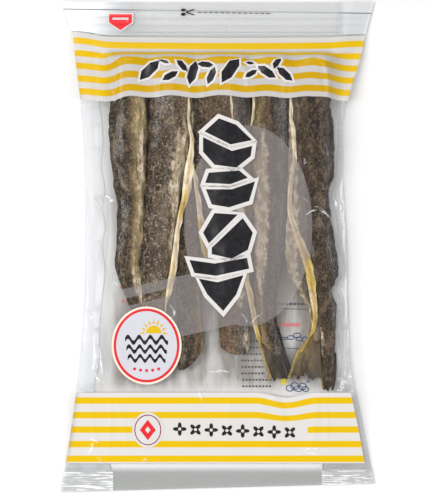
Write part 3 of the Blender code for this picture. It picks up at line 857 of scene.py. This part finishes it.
def printed_film():
    """The front panel's film with its white bands, yellow stripes and frosted oval and ribbon."""
    finish = Finish("printed_film")
    place = finish.place()
    x, y = (finish.node("SeparateXYZ", {"Vector": place}, axis) * (1 / MM) for axis in (0, 1))
    from_top = finish.attribute("from_top")

    top_band = from_top.between(*TOP_BAND_UPPER) * (1 - from_top.between(*TOP_BAND_LOWER))
    from_stripe = wrapped(finish, from_top, TOP_STRIPE, TOP_STRIPE_PITCH)
    top_stripe = 1 - from_stripe.between(*TOP_STRIPE_EDGE)

    # the lower band dips a little at its right, and its middle stripe stops for the printed marks
    dip = x.near(DIP_X, (0.0, DIP_REACH_X)) * y.near(DIP_Y, (0.0, DIP_REACH_Y))
    low_y = y + DIP_DEPTH * dip
    low_band = (1 - low_y.between(*LOW_BAND_UPPER)) * low_y.between(*LOW_BAND_LOWER)
    low_band = low_band * finish.attribute("from_right").between(*LOW_BAND_RIGHT)
    gap = x.between(*GAP_LEFT) * (1 - x.between(*GAP_RIGHT)) * low_y.near(GAP_Y, GAP_EDGE)
    from_stripe = wrapped(finish, low_y, LOW_STRIPE, LOW_STRIPE_PITCH)
    low_stripe = (1 - from_stripe.between(*LOW_STRIPE_EDGE)) * (1 - gap)

    ink = top_band.at_least(low_band)
    stripe = (top_band * top_stripe).at_least(low_band * low_stripe)
    # painted shade: the ink is painted darker where the fish lie under the film, for the dark fish showing
    # through the thin ink
    laden = finish.attribute("laden")
    white = finish.mix(laden, opaque(217, 214, 210), opaque(205, 201, 198))
    yellow = finish.mix(laden, opaque(226, 185, 2), opaque(200, 157, 4))
    ink_colour = finish.mix(stripe, white, yellow)

    oval_x, oval_y = (x - OVAL_X) / OVAL_HALF_WIDTH, (y - OVAL_Y) / OVAL_HALF_HEIGHT
    frosted_oval = 1 - (oval_x * oval_x + oval_y * oval_y).between(*OVAL_EDGE)
    off_x, off_y = x - RIBBON_X, y - RIBBON_Y
    run, drop = off_x * RIBBON_COS + off_y * RIBBON_SIN, off_y * RIBBON_COS - off_x * RIBBON_SIN
    ribbon = run.near(0.0, RIBBON_ENDS) * drop.near(0.0, RIBBON_SIDES)
    slot = run.near(SLOT_RUN, SLOT_ENDS) * drop.near(SLOT_DROP, SLOT_SIDES)
    frost = frosted_oval.at_least(ribbon * (1 - slot)) * (1 - ink)

    header = 1 - from_top.between(*HEADER_EDGE)
    # painted sheen: the header's left end, and less of its right end, painted near white for the light it
    # reflects
    painted_header_sheen = header * (1 - x.between(*SHEEN_LEFT) + SHEEN_RIGHT_SHARE * x.between(*SHEEN_RIGHT))
    tear_line = (y + TEAR_SLOPE * x).near(TEAR_Y, TEAR_EDGE)
    sealed = 1 - y.between(*SEAL_EDGE)
    top_sealed = y.between(*TOP_SEAL_EDGE)
    lines = finish.grain(finish.stretched(place, (0.12, 1.6, 1)), 620.0, 2.0, 0.6).between(0.5, 0.6)
    crimp = sealed * x.size().between(*CRIMP_EDGE) * (0.55 + 0.45 * lines)
    # sharp creases painted white: partly the film's stress whitening, partly painted glints along them
    crease_whitening_and_glint = finish.attribute("crease").between(0.15, 0.85)

    gloss = film_gloss(finish)
    edge = 1 - finish.attribute("from_side").between(0.3, 2.2)
    clear = gloss + HAZE
    for share, part in ((EDGE_HAZE, edge), (HEADER_HAZE, header), (TOP_SEAL_HAZE, top_sealed),
                        (HEADER_SHEEN_HAZE, painted_header_sheen), (SEAL_HAZE, sealed), (TEAR_HAZE, tear_line)):
        clear = clear + share * part
    shown = clear
    for share, part in ((TOP_WHITE_COVER, top_band), (YELLOW_COVER, stripe), (LOW_WHITE_COVER, low_band),
                        (FROST_COVER, frost), (CRIMP_COVER, crimp), (CREASE_COVER, crease_whitening_and_glint)):
        shown = shown.at_least(share * part)
    colour = finish.mix(sealed, opaque(176, 180, 184), opaque(150, 153, 150))
    # near white where the header's painted sheen lies
    colour = finish.mix(painted_header_sheen, colour, opaque(250, 251, 253))
    colour = finish.mix(tear_line, colour, opaque(110, 112, 114))
    colour = finish.mix(frost, colour, opaque(169, 162, 160))
    colour = finish.mix(crimp, colour, opaque(248, 249, 249))
    colour = finish.mix(ink, colour, ink_colour)
    # near white along sharp creases, partly painted glints
    colour = finish.mix(crease_whitening_and_glint, colour, opaque(250, 250, 250))
    dull = ink.at_least(frost).at_least(crimp).at_least(crease_whitening_and_glint)
    return finish.surface(Base_Color=colour, Roughness=FILM_ROUGHNESS + 0.14 * ink + 0.2 * frost,
                          Metallic=(gloss / clear) * (1 - dull), Specular_IOR_Level=0.15,
                          Alpha=shown.at_most(1.0), Normal=glossy_bump(finish, place))


def smoothed_across(rows, passes):
    """Each row evened out along X, because stiff film can't change fast."""
    for _ in range(passes):
        held = np.pad(rows, ((0, 0), (1, 1)), mode="edge")
        rows = (held[:, :-2] + 2 * held[:, 1:-1] + held[:, 2:]) / 4
    return rows


front_panel = flat_grid("front_panel", PANEL_COLUMNS, PANEL_ROWS)
unit = read_points(front_panel.data)
y = unit[:, 1] * 2 * HALF_LENGTH
x = side_x(y, -1) + (side_x(y, 1) - side_x(y, -1)) * (unit[:, 0] + 0.5)
lie = np.stack([x, skewed(x, y), film_height(x, y)], 1)
write_points(front_panel.data, lie * MM)
rows = lie.reshape(PANEL_ROWS + 1, PANEL_COLUMNS + 1, 3)
steps = np.linalg.norm(np.diff(rows, axis=0), axis=2)[::-1]
from_top = np.vstack([np.zeros(PANEL_COLUMNS + 1), np.cumsum(steps, axis=0)])[::-1]
from_top = smoothed_across(from_top, EVENED_STRIPES).ravel()
inner = ease((from_sides(x, y) - 12.0) / 16.0)
from_top -= STEP_SLACK * inner * ease((HEADER_START + 2.0 - y) / 12.0)
pulled_left = LEFT_PULL * ease(1 - (x - side_x(y, -1)) / PULL_RUN)
from_top += pulled_left + RIGHT_PULL * ease(1 - (side_x(y, 1) - x) / PULL_RUN)
add_attribute(front_panel.data, "from_top", from_top)
sharp = [crease for crease in CREASES if crease[5] <= SHARP_CREASE]
add_attribute(front_panel.data, "crease", creased(x, y, sharp))
# where the ink gets its painted shade: how far the film lies over the fish
laden = ease((read_grid(held_up, x, y) - 6.0) / 8.0).reshape(PANEL_ROWS + 1, PANEL_COLUMNS + 1)
laden = smoothed_across(smoothed_across(laden, EVENED_LADEN[0]).T, EVENED_LADEN[1]).T
add_attribute(front_panel.data, "laden", laden.ravel())
add_attribute(front_panel.data, "from_right", side_x(y, 1) - x)
add_attribute(front_panel.data, "from_side", from_sides(x, y))
bpy.ops.object.shade_smooth()
front_panel.data.materials.append(printed_film())
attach(front_panel, "root")
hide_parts("bag")

# ---- The printed marks ----------------------------------------------------------------------
# Flat ink on the front panel: four bold black blocks with a pale outline, a row of brush dabs, a
# badge, a round mark, a row of small rosettes, a red arrow tab and a pair of scissors.
PRINT_CELL = 0.8               # mm between the cuts that let a mark follow the film
PRINT_LIFT, LAYER_LIFT = 0.16, 0.07    # mm of the first layer above the film, and of each further one
DROP_HEIGHT = 45.0             # mm above the floor from which a mark is laid down onto the film
CUT_WELD = 0.00001             # metres within which a cut meets a point
SHARPEST = 0.62                # corners sharper than this are cut short when an outline is grown
INK_ROUGHNESS = 0.22
BLOCK_OUTLINE, DAB_OUTLINE, TAB_OUTLINE = 2.8, 1.5, 0.9        # mm of pale outline


def ink_finish(name, tint):
    """Ink under the film's gloss, with the faint unevenness of print."""
    finish = Finish(name)
    place = finish.place()
    patch = finish.grain(place, 300.0, 3.0).between(0.3, 0.7)
    colour = finish.mix(0.05 * patch, (*tint, 1.0), opaque(128, 128, 130))
    return finish.surface(Base_Color=colour, Roughness=INK_ROUGHNESS, Specular_IOR_Level=0.25,
                          Normal=glossy_bump(finish, place))


def mark(name, outlines, layer, finish, carrier):
    """One ink layer: each outline is a disc's corners moved into place, cut and laid on the film."""
    shapes = []
    for corners in outlines:
        bpy.ops.object.select_all(action="DESELECT")
        bpy.ops.mesh.primitive_circle_add(vertices=len(corners), fill_type="NGON")
        shape = bpy.context.object
        write_points(shape.data, np.array([(px, py, DROP_HEIGHT) for px, py in corners]) * MM)
        shapes.append(shape)
    for shape in shapes:
        shape.select_set(True)
    bpy.context.view_layer.objects.active = shapes[0]
    if len(shapes) > 1:
        bpy.ops.object.join()
    made = bpy.context.view_layer.objects.active
    made.name = made.data.name = name
    cut_into_cells(made)
    lay = made.modifiers.new("lay", "SHRINKWRAP")
    lay.target, lay.wrap_method = carrier, "PROJECT"
    lay.use_project_z, lay.use_positive_direction, lay.use_negative_direction = True, False, True
    lay.offset = (PRINT_LIFT + LAYER_LIFT * layer) * MM
    bpy.ops.object.modifier_apply(modifier=lay.name)
    bpy.ops.object.shade_smooth()
    made.data.materials.append(finish)
    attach(made, "root")


def cut_into_cells(made):
    """Turns the faces up, then cuts them along a square grid."""
    cells = bmesh.new()
    cells.from_mesh(made.data)
    bmesh.ops.triangulate(cells, faces=cells.faces)
    for face in cells.faces:
        face.normal_update()
        if face.normal.z < 0:
            face.normal_flip()
    points = np.array([vert.co[:2] for vert in cells.verts]) / MM
    for axis in (0, 1):
        low, high = points[:, axis].min(), points[:, axis].max()
        for step in range(math.ceil(low / PRINT_CELL), math.floor(high / PRINT_CELL) + 1):
            at, normal = [0, 0, 0], [0, 0, 0]
            at[axis], normal[axis] = step * PRINT_CELL * MM, 1
            bmesh.ops.bisect_plane(cells, geom=cells.verts[:] + cells.edges[:] + cells.faces[:],
                                   dist=CUT_WELD, plane_co=at, plane_no=normal)
    cells.to_mesh(made.data)
    cells.free()


def turned(points, centre, degrees=0.0, size=1.0):
    """A motif's points at a size, turned, and moved to centre."""
    c, s = math.cos(math.radians(degrees)) * size, math.sin(math.radians(degrees)) * size
    return [(centre[0] + c * px - s * py, centre[1] + s * px + c * py) for px, py in points]


def oval(centre, radius_x, radius_y, corners=48):
    """An oval's outline, anticlockwise from its right."""
    angles = [2 * math.pi * step / corners for step in range(corners)]
    return [(centre[0] + radius_x * math.cos(a), centre[1] + radius_y * math.sin(a)) for a in angles]


def grown(corners, margin):
    """An outline pushed outwards by margin, its sharp corners cut short."""
    points = [Vector(point) for point in corners]
    area = sum(a.cross(b) for a, b in zip(points, points[1:] + points[:1]))
    outward = -1 if area > 0 else 1
    result = []
    for index, point in enumerate(points):
        before = (point - points[index - 1]).normalized()
        after = (points[(index + 1) % len(points)] - point).normalized()
        side = (Vector((-before.y, before.x)) + Vector((-after.y, after.x))) * outward
        spread = max(side.length_squared / 2, SHARPEST)
        result.append(tuple(point + side * margin / spread))
    return result


black_ink = ink_finish("black_ink", shade(20, 20, 24))
white_ink = ink_finish("white_ink", shade(218, 214, 211))
red_ink = ink_finish("red_ink", shade(220, 38, 46))

BLOCKS = (                     # outlines of the black blocks, in mm
    ((1, 89), (13, 84.5), (24, 74), (9, 71), (-9, 80)),
    ((-10, 76), (10, 66.5), (24, 70), (23, 63), (13, 55), (-2, 57), (-10, 66)),
    ((-6, 51.5), (15, 53), (21, 48), (9, 43.5), (-8.5, 44.5)),
    ((-8, 40), (10, 40), (26, 45.5), (22, 32), (8, 27.5), (-4, 29.5)),
    ((-2, 23.5), (14, 22.5), (-6, 2.5), (-10, 10)),
    ((17.5, 20), (24.5, 10), (21, -2), (10, -8), (-4, -5), (-4, -0.5)),
    ((-19.5, -9), (-2, -11.5), (20.5, -7.5), (22, -15), (-1, -20), (-16, -18)),
    ((-13, -22), (0, -24.5), (18, -19.5), (13, -33), (4, -44.5), (-7, -33)),
)
mark("block_outlines", [grown(block, BLOCK_OUTLINE) for block in BLOCKS], 1, white_ink, front_panel)
mark("blocks", BLOCKS, 2, black_ink, front_panel)

DABS_DROP = 2.4                # mm by which the row lies lower than its table says
STEP_Y, STEP_SQUEEZE = 129.0, 0.3     # past this Y the dabs are squeezed, or they would run down the step
DAB = ((-6.0, -1.2), (-2.0, -2.6), (3.5, -1.8), (6.4, 0.9), (2.5, 2.3), (-3.0, 1.6))
DABS = (                       # X, Y, turn and size of each brush dab
    (-47.5, 125.0, 36, 1.55), (-37.5, 132.0, -38, 0.72), (-33.0, 121.0, 20, 1.00), (-24.5, 128.5, -58, 0.90),
    (-17.5, 123.0, 66, 1.40), (-8.5, 129.0, -14, 0.90), (-4.5, 121.0, 58, 1.05), (8.5, 125.5, 48, 1.80),
    (22.5, 130.0, -15, 0.46), (23.0, 122.5, 22, 0.80), (34.0, 124.0, -42, 1.20), (41.0, 131.0, 58, 0.95),
    (46.5, 122.5, -50, 1.15),
)


def off_the_step(corners):
    """An outline with what reaches over the step squeezed towards it."""
    return [(px, min(py, STEP_Y + STEP_SQUEEZE * (py - STEP_Y))) for px, py in corners]


dabs = [turned(DAB, (dab_x, dab_y - DABS_DROP), turn, size) for dab_x, dab_y, turn, size in DABS]
mark("dab_halos", [off_the_step(grown(dab, DAB_OUTLINE)) for dab in dabs], 1, white_ink, front_panel)
mark("dabs", [off_the_step(dab) for dab in dabs], 2, black_ink, front_panel)

BADGE = (-49.4, -68.6)
yellow_ink = ink_finish("yellow_ink", shade(222, 182, 8))
for layer, (name, half_width, half_height, ink) in enumerate((
        ("badge_halo", 24.4, 27.2, ink_finish("halo_ink", shade(244, 226, 208))),
        ("badge_ring", 23.0, 25.8, red_ink),
        ("badge", 21.2, 24.0, ink_finish("badge_field", shade(206, 206, 214)))), start=1):
    mark(name, [oval(BADGE, half_width, half_height)], layer, ink, front_panel)
WAVE_HALF, WAVE_RISE, WAVE_TURN, WAVE_BAND = 15, 2.2, 0.8, 1.5
crests = [WAVE_RISE * math.sin(step * WAVE_TURN) for step in range(2 * WAVE_HALF + 1)]
WAVE = [(step - WAVE_HALF, crest + WAVE_BAND) for step, crest in enumerate(crests)]
WAVE += [(px, py - 2 * WAVE_BAND) for px, py in WAVE[::-1]]
waves = [turned(WAVE, (BADGE[0], BADGE[1] + 4 - 6.5 * row), 0, 1.0 - 0.06 * row) for row in range(3)]
mark("badge_waves", waves, 4, black_ink, front_panel)
SUN, SUN_RADIUS = (BADGE[0] + 5.0, BADGE[1] + 8.5), 5.4
RAY = ((6.6, -0.9), (10.2, 0), (6.6, 0.9))
half_sun = oval(SUN, SUN_RADIUS, SUN_RADIUS, 32)[:17]
mark("badge_sun", [half_sun] + [turned(RAY, SUN, 22.5 * step) for step in range(9)], 4, yellow_ink,
     front_panel)
dots = [oval((BADGE[0] + 4.2 * step, BADGE[1] - 17.5 + 0.28 * step ** 2), 1.1, 1.1, 12)
        for step in range(-2, 3)]
mark("badge_dots", dots, 4, red_ink, front_panel)

ROUND_MARK = (-48.7, -127.8)
LOZENGE = ((0, 7.2), (5.6, 0), (0, -7.2), (-5.6, 0))
for layer, (name, half_width, half_height, ink) in enumerate((
        ("round_mark_halo", 10.9, 12.4, white_ink),
        ("round_mark_ring", 9.4, 10.8, ink_finish("maroon_ink", shade(132, 36, 66))),
        ("round_mark_field", 8.7, 10.1, white_ink)), start=1):
    mark(name, [oval(ROUND_MARK, half_width, half_height)], layer, ink, front_panel)
mark("round_mark_lozenge", [turned(LOZENGE, ROUND_MARK)], 4, red_ink, front_panel)
mark("round_mark_heart", [turned(LOZENGE, ROUND_MARK, 0, 0.34)], 5, white_ink, front_panel)

PETAL_MIDDLE, PETAL_SWING = 3.3, 1.5   # the rosette's mean radius, and how far its four petals reach past it
petal_angles = [math.pi * step / 16 for step in range(32)]
petal_reach = [PETAL_MIDDLE + PETAL_SWING * math.cos(4 * angle) for angle in petal_angles]
ROSETTE = [(math.cos(angle) * reach, math.sin(angle) * reach)
           for angle, reach in zip(petal_angles, petal_reach)]
ROSETTES_FIRST, ROSETTES_STEP, ROSETTES_COUNT = (-26.4, -127.2), (11.0, -0.35), 8
centres = [tuple(first + index * step for first, step in zip(ROSETTES_FIRST, ROSETTES_STEP))
           for index in range(ROSETTES_COUNT)]
mark("rosettes", [turned(ROSETTE, centre, 45 * (index % 2)) for index, centre in enumerate(centres)],
     1, black_ink, front_panel)
mark("rosette_hearts", [oval(centre, 1.1, 1.1, 12) for centre in centres], 2, white_ink, front_panel)

TAB = ((-8, 5.2), (8, 5.2), (8, -0.6), (0, -6.2), (-8, -0.6))
TAB_PLACE = (-67.8, 157.6)
mark("arrow_tab_halo", [turned(grown(TAB, TAB_OUTLINE), TAB_PLACE)], 1, white_ink, front_panel)
mark("arrow_tab", [turned(TAB, TAB_PLACE)], 2, ink_finish("tab_ink", shade(236, 44, 54)), front_panel)
BAR = ((-5.6, 0.8), (5.6, 0.8), (5.6, -0.8), (-5.6, -0.8))
mark("arrow_tab_bar", [turned(BAR, (TAB_PLACE[0], TAB_PLACE[1] + 2.0))], 3, white_ink, front_panel)

SCISSORS = (-21.5, 164.2)
BLADE = ((-0.4, -0.4), (5.0, 1.5), (5.4, 2.4), (-0.6, 0.5))
scissors = [turned(BLADE, SCISSORS), turned([(px, -py) for px, py in BLADE], SCISSORS)]
for side in (-1, 1):
    handle = (SCISSORS[0] - 2.4, SCISSORS[1] + 1.5 * side)
    scissors.append(oval(handle, 1.7, 1.1, 14))
mark("scissors", scissors, 1, black_ink, front_panel)
DASH = ((-1.3, 0.35), (1.3, 0.35), (1.3, -0.35), (-1.3, -0.35))
dashes = [turned(DASH, (-12.6 + 4.0 * step, 164.0 - 0.06 * step)) for step in range(13)]
mark("cut_line", dashes, 1, ink_finish("grey_ink", shade(92, 94, 98)), front_panel)

# ---- The back panel and the two gussets -----------------------------------------------------
# The same film, heat-sealed to the front at both ends. The back lies on the floor; each gusset is a
# strip folded inwards along the side, deep where the bag is flat and pushed out beside the fish.
BACK_FLAT_SHARE = 0.83         # of the half width that lies flat before the back curls up to its crease
BACK_LIFT, BACK_CREASE_HEIGHT, SEAL_LIFT = 0.15, 2.0, 1.15
BACK_LIFTS_BELOW, BACK_LIFTS_ABOVE = -100.0, 118.0     # Y past which it rises to a seal
BACK_GRID, GUSSET_GRID = (60, 140), (24, 260)          # faces across and along
BACK_HAZE, LEFT_HAZE, RIGHT_HAZE = 0.48, 0.12, 0.20
GUSSET_DEPTH_OPEN, GUSSET_DEPTH_BOTTOM, GUSSET_DEPTH_TOP = 13.0, 34.0, 14.0
GUSSET_DEPTH_LEAST, GUSSET_RIPPLE, GUSSET_CLEARANCE = 2.5, 0.9, 1.2
REACH_CELL = 2.0               # mm between the stops at which the fish's reach is read


def back_height(x, y):
    """Height of the back panel: near the floor, lifted at its sides and at both seals."""
    half = np.where(x < 0, -side_x(y, -1), side_x(y, 1))
    past = (np.abs(x) / half - BACK_FLAT_SHARE) / (1 - BACK_FLAT_SHARE)
    crease = SEAL_LIFT + (BACK_CREASE_HEIGHT - SEAL_LIFT) * opening(y)
    ends = np.maximum((BACK_LIFTS_BELOW - y) / (HALF_LENGTH + BACK_LIFTS_BELOW),
                      (y - BACK_LIFTS_ABOVE) / (HALF_LENGTH - BACK_LIFTS_ABOVE))
    lift = BACK_LIFT + (SEAL_LIFT - BACK_LIFT) * ease(ends)
    return lift + (crease - lift) * ease(past)


def film_piece(name, faces, place, film_finish):
    """A grid of film put in its place by a function of its two unit coordinates."""
    made = flat_grid(name, *faces)
    unit = read_points(made.data)
    write_points(made.data, place(unit[:, 0] + 0.5, unit[:, 1] + 0.5) * MM)
    bpy.ops.object.shade_smooth()
    made.data.materials.append(film_finish)
    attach(made, "root")
    return made


def back_place(u, v):
    """The back panel's place: it runs from right to left, so that its faces look down."""
    y = (v - 0.5) * 2 * HALF_LENGTH
    x = side_x(y, 1) + (side_x(y, -1) - side_x(y, 1)) * u
    return np.stack([x, skewed(x, y), back_height(x, y)], 1)


def fish_reach(side):
    """How far the fish come out on one side, at stops along the bag."""
    stops = np.arange(-GRID_Y, GRID_Y + 1, REACH_CELL)
    reach = np.zeros_like(stops)
    for item in bpy.data.objects:
        if item.name.startswith(CONTENTS):
            points = read_points(item.data) / MM
            row = ((points[:, 1] - stops[0]) / REACH_CELL).round().astype(int)
            row = np.clip(row, 1, len(stops) - 2)
            for step in (-1, 0, 1):
                np.maximum.at(reach, row + step, side * points[:, 0])
    return stops, np.convolve(np.pad(reach, 2, mode="edge"), np.full(5, 0.2), mode="valid")


def gusset_place(side):
    """The place function of one gusset, folded in as far as the fish beside it leave room."""
    stops, reach = fish_reach(side)

    def place(u, v):
        y = (v - 0.5) * 2 * HALF_LENGTH
        edge = side_x(y, side)
        flat = np.where(y < 0, GUSSET_DEPTH_BOTTOM, GUSSET_DEPTH_TOP)
        depth = flat + (GUSSET_DEPTH_OPEN - flat) * opening(y) ** 0.5
        room = side * edge - np.interp(skewed(edge, y), stops, reach) - GUSSET_RIPPLE - GUSSET_CLEARANCE
        depth = np.minimum(depth, np.maximum(room, GUSSET_DEPTH_LEAST))
        down = u if side > 0 else 1 - u
        fold = (1 - np.abs(2 * down - 1)) ** 0.85
        ripple = GUSSET_RIPPLE * np.sin(y * 0.16 + 2.0 * np.sin(y * 0.045 + side)) * opening(y) * fold
        x = edge - side * (depth + ripple) * fold
        high = film_height(edge, y)
        z = high + (back_height(edge, y) - high) * down
        z = np.minimum(z, film_height(x, y) - 0.25 * ease(fold * 8))
        z = np.maximum(z, back_height(x, y) + 0.1 * ease((1 - down) * 8))
        return np.stack([x, skewed(x, y), z], 1)
    return place


def painted_shade_haze(finish):
    """The back is painted grey along its middle, in patches and in streaks along it: painted shade under and
    between the fish. It is clearer at its sides.
    """
    place = finish.place()
    shade_patches = finish.grain(place, 24.0, 3.0).between(0.3, 0.7)
    pleat_shading = finish.grain(finish.stretched(place, (1, 0.22, 1)), 70.0, 3.0).between(0.35, 0.65)
    return BACK_HAZE * (0.4 + 0.4 * shade_patches + 0.9 * pleat_shading) * finish.attribute("oiled") + HAZE


def streaked_haze(share, towards_tails):
    """A gusset's haze: streaks along its folds, and more of it towards the tails."""
    def haze(finish):
        place = finish.place()
        streaks = finish.grain(finish.stretched(place, (1, 0.15, 1)), 160.0, 4.0).between(0.35, 0.7)
        low = 1 - finish.node("SeparateXYZ", {"Vector": place}, 1).between(-0.06, 0.06)
        return share * (0.2 + towards_tails * low + 0.6 * streaks)
    return haze


# the back film's grey tint carries the painted shade under the fish
back_film = clear_film("back_film", painted_shade_haze, (146, 138, 129))
left_film = clear_film("left_gusset_film", streaked_haze(LEFT_HAZE, 0.5), (190, 194, 203))
right_film = clear_film("right_gusset_film", streaked_haze(RIGHT_HAZE, 1.2), (194, 194, 194))
back_panel = film_piece("back_panel", BACK_GRID, back_place, back_film)
x, y = read_points(back_panel.data).T[:2] / MM
# where the back is painted grey as shade under and between the fish
under_fish = ease((138.0 - y) / 16) * ease((y + 104.0) / 14)
add_attribute(back_panel.data, "oiled", ease((from_sides(x, y) - 8.0) / 26.0) * under_fish)
film_piece("side_gusset_left", GUSSET_GRID, gusset_place(-1), left_film)
film_piece("side_gusset_right", GUSSET_GRID, gusset_place(1), right_film)

# ---- The back print -------------------------------------------------------------------------
# Faint small print on the back panel, seen through the clear part of the bag beside the tails:
# rows of dashes, two rules, a group of rings and a yellow dot.
ROWS = (                       # X and Y of a row's start, number of dashes, size, and ink
    (40.5, -40.0, 9, 1.0, "black"), (46.0, -54.5, 4, 1.5, "red"), (17.0, -66.0, 8, 0.62, "black"),
    (17.0, -70.5, 8, 0.62, "black"), (17.0, -75.0, 9, 0.62, "black"), (17.5, -79.5, 9, 0.62, "black"),
    (17.5, -84.0, 9, 0.75, "black"), (17.5, -88.5, 9, 0.75, "black"), (18.0, -93.0, 9, 0.75, "black"),
    (18.0, -97.5, 9, 0.75, "black"), (-67.0, -28.0, 3, 1.2, "red"), (-66.0, -38.0, 3, 1.2, "red"),
)
faint = {"black": ink_finish("back_black_ink", shade(84, 84, 90)),
         "red": ink_finish("back_red_ink", shade(214, 120, 126))}
WORD = ((-0.9, 0.8), (1.0, 0.9), (0.8, -0.8), (-1.0, -0.7))
WORD_STEP, WORD_LEAN = 2.7, 12         # mm from one dash to the next at size 1, and degrees
for ink_name, ink in faint.items():
    words = []
    for row_number, (row_x, row_y, count, size, row_ink) in enumerate(ROWS):
        for step in range(count):
            lean = WORD_LEAN * math.sin(step * 2.3 + row_number)
            if row_ink == ink_name:
                words.append(turned(WORD, (row_x + WORD_STEP * step * size ** 0.5, row_y), lean, size))
    mark("back_words_" + ink_name, words, 1, ink, back_panel)
RULES = (((40, -43.0), (64, -43.4), (64, -43.8), (40, -43.4)),
         ((47, -70.6), (62, -70.9), (62, -71.3), (47, -71.0)))
mark("back_rules", RULES, 1, faint["black"], back_panel)


def ring(centre, radius_x, radius_y, width):
    """An outline of a ring, cut open at one place so that it is one closed run of corners."""
    outer = oval(centre, radius_x, radius_y, 24)
    inner = oval(centre, radius_x - width, radius_y - width, 24)
    return outer + [outer[0], inner[0]] + inner[::-1]


RING_WIDTH = 0.6
RINGS = ((46.6, -63.9, 3.0, 1.0), (51.2, -63.4, 2.8, 1.6), (55.6, -61.8, 3.0, 1.8), (57.2, -64.4, 2.6, 1.6),
         (61.0, -64.8, 2.0, 2.2), (50.6, -98.8, 2.8, 2.4), (54.0, -97.4, 3.0, 2.8), (56.6, -99.2, 3.2, 2.2),
         (59.6, -97.6, 2.8, 2.6), (61.6, -99.4, 2.4, 2.0), (63.6, -93.8, 1.3, 1.2), (66.4, -92.4, 1.0, 0.9))
rings = [ring((ring_x, ring_y), wide, high, RING_WIDTH) for ring_x, ring_y, wide, high in RINGS]
mark("back_rings", rings, 1, ink_finish("back_blue_ink", shade(70, 82, 128)), back_panel)
mark("back_dot", [oval((46.2, -93.8), 2.3, 3.0, 20)], 1,
     ink_finish("back_yellow_ink", shade(216, 200, 74)), back_panel)

# ---- The studio -----------------------------------------------------------------------------
# A white floor under the bag, a soft white sky, two large soft lights from the upper left and two
# narrow ones that put glints on the film. The camera looks straight down through a long lens.
FLOOR_HALF, FLOOR_TINT = 3.0, (0.86, 0.86, 0.86, 1.0)
SKY_TINT, SKY_STRENGTH = (1.0, 1.0, 1.0, 1.0), 0.55
CAMERA_HEIGHT = 2.0
FRAMED_HEIGHT = 0.3465         # metres of the floor that the camera takes in from top to bottom
CAMERA_OFFSET = 0.00035        # metres from over the bag's middle towards its bottom seal
SENSOR = 36.0
LIGHTS = (                     # name, width and length, power in watts, and place; all aim at the bag
    ("key_light", (0.45, 0.8), 12.5, (-0.95, -0.05, 1.35)),
    ("sky_light", (0.45, 0.9), 8.0, (-0.42, 0.72, 1.95)),
    ("side_light", (0.12, 0.5), 2.0, (0.80, -0.10, 0.95)),
    ("front_light", (0.5, 0.10), 1.6, (0.1, -0.90, 1.0)),
)

bpy.ops.object.select_all(action="DESELECT")
bpy.ops.mesh.primitive_plane_add(size=2 * FLOOR_HALF, location=(0, 0, 0))
floor = bpy.context.object
floor.name = "floor"
floor.data.materials.append(Finish("studio_floor").surface(Base_Color=FLOOR_TINT, Roughness=0.9))

world = bpy.data.worlds.new("studio_sky")
world.use_nodes = True
sky = world.node_tree.nodes["Background"]
sky.inputs["Color"].default_value, sky.inputs["Strength"].default_value = SKY_TINT, SKY_STRENGTH
bpy.context.scene.world = world

for name, size, power, place in LIGHTS:
    lamp = bpy.data.lights.new(name, "AREA")
    lamp.shape, lamp.energy = "RECTANGLE", power
    lamp.size, lamp.size_y = size
    light = bpy.data.objects.new(name, lamp)
    bpy.context.scene.collection.objects.link(light)
    light.location = place
    light.rotation_euler = (-Vector(place)).to_track_quat("-Z", "Y").to_euler()

lens = bpy.data.cameras.new("camera")
lens.sensor_width = SENSOR
lens.lens = SENSOR * CAMERA_HEIGHT / FRAMED_HEIGHT
camera = bpy.data.objects.new("camera", lens)
camera.location = (0, -CAMERA_OFFSET, CAMERA_HEIGHT)
bpy.context.scene.collection.objects.link(camera)
bpy.context.scene.camera = camera
bpy.context.scene.view_settings.view_transform = "Standard"
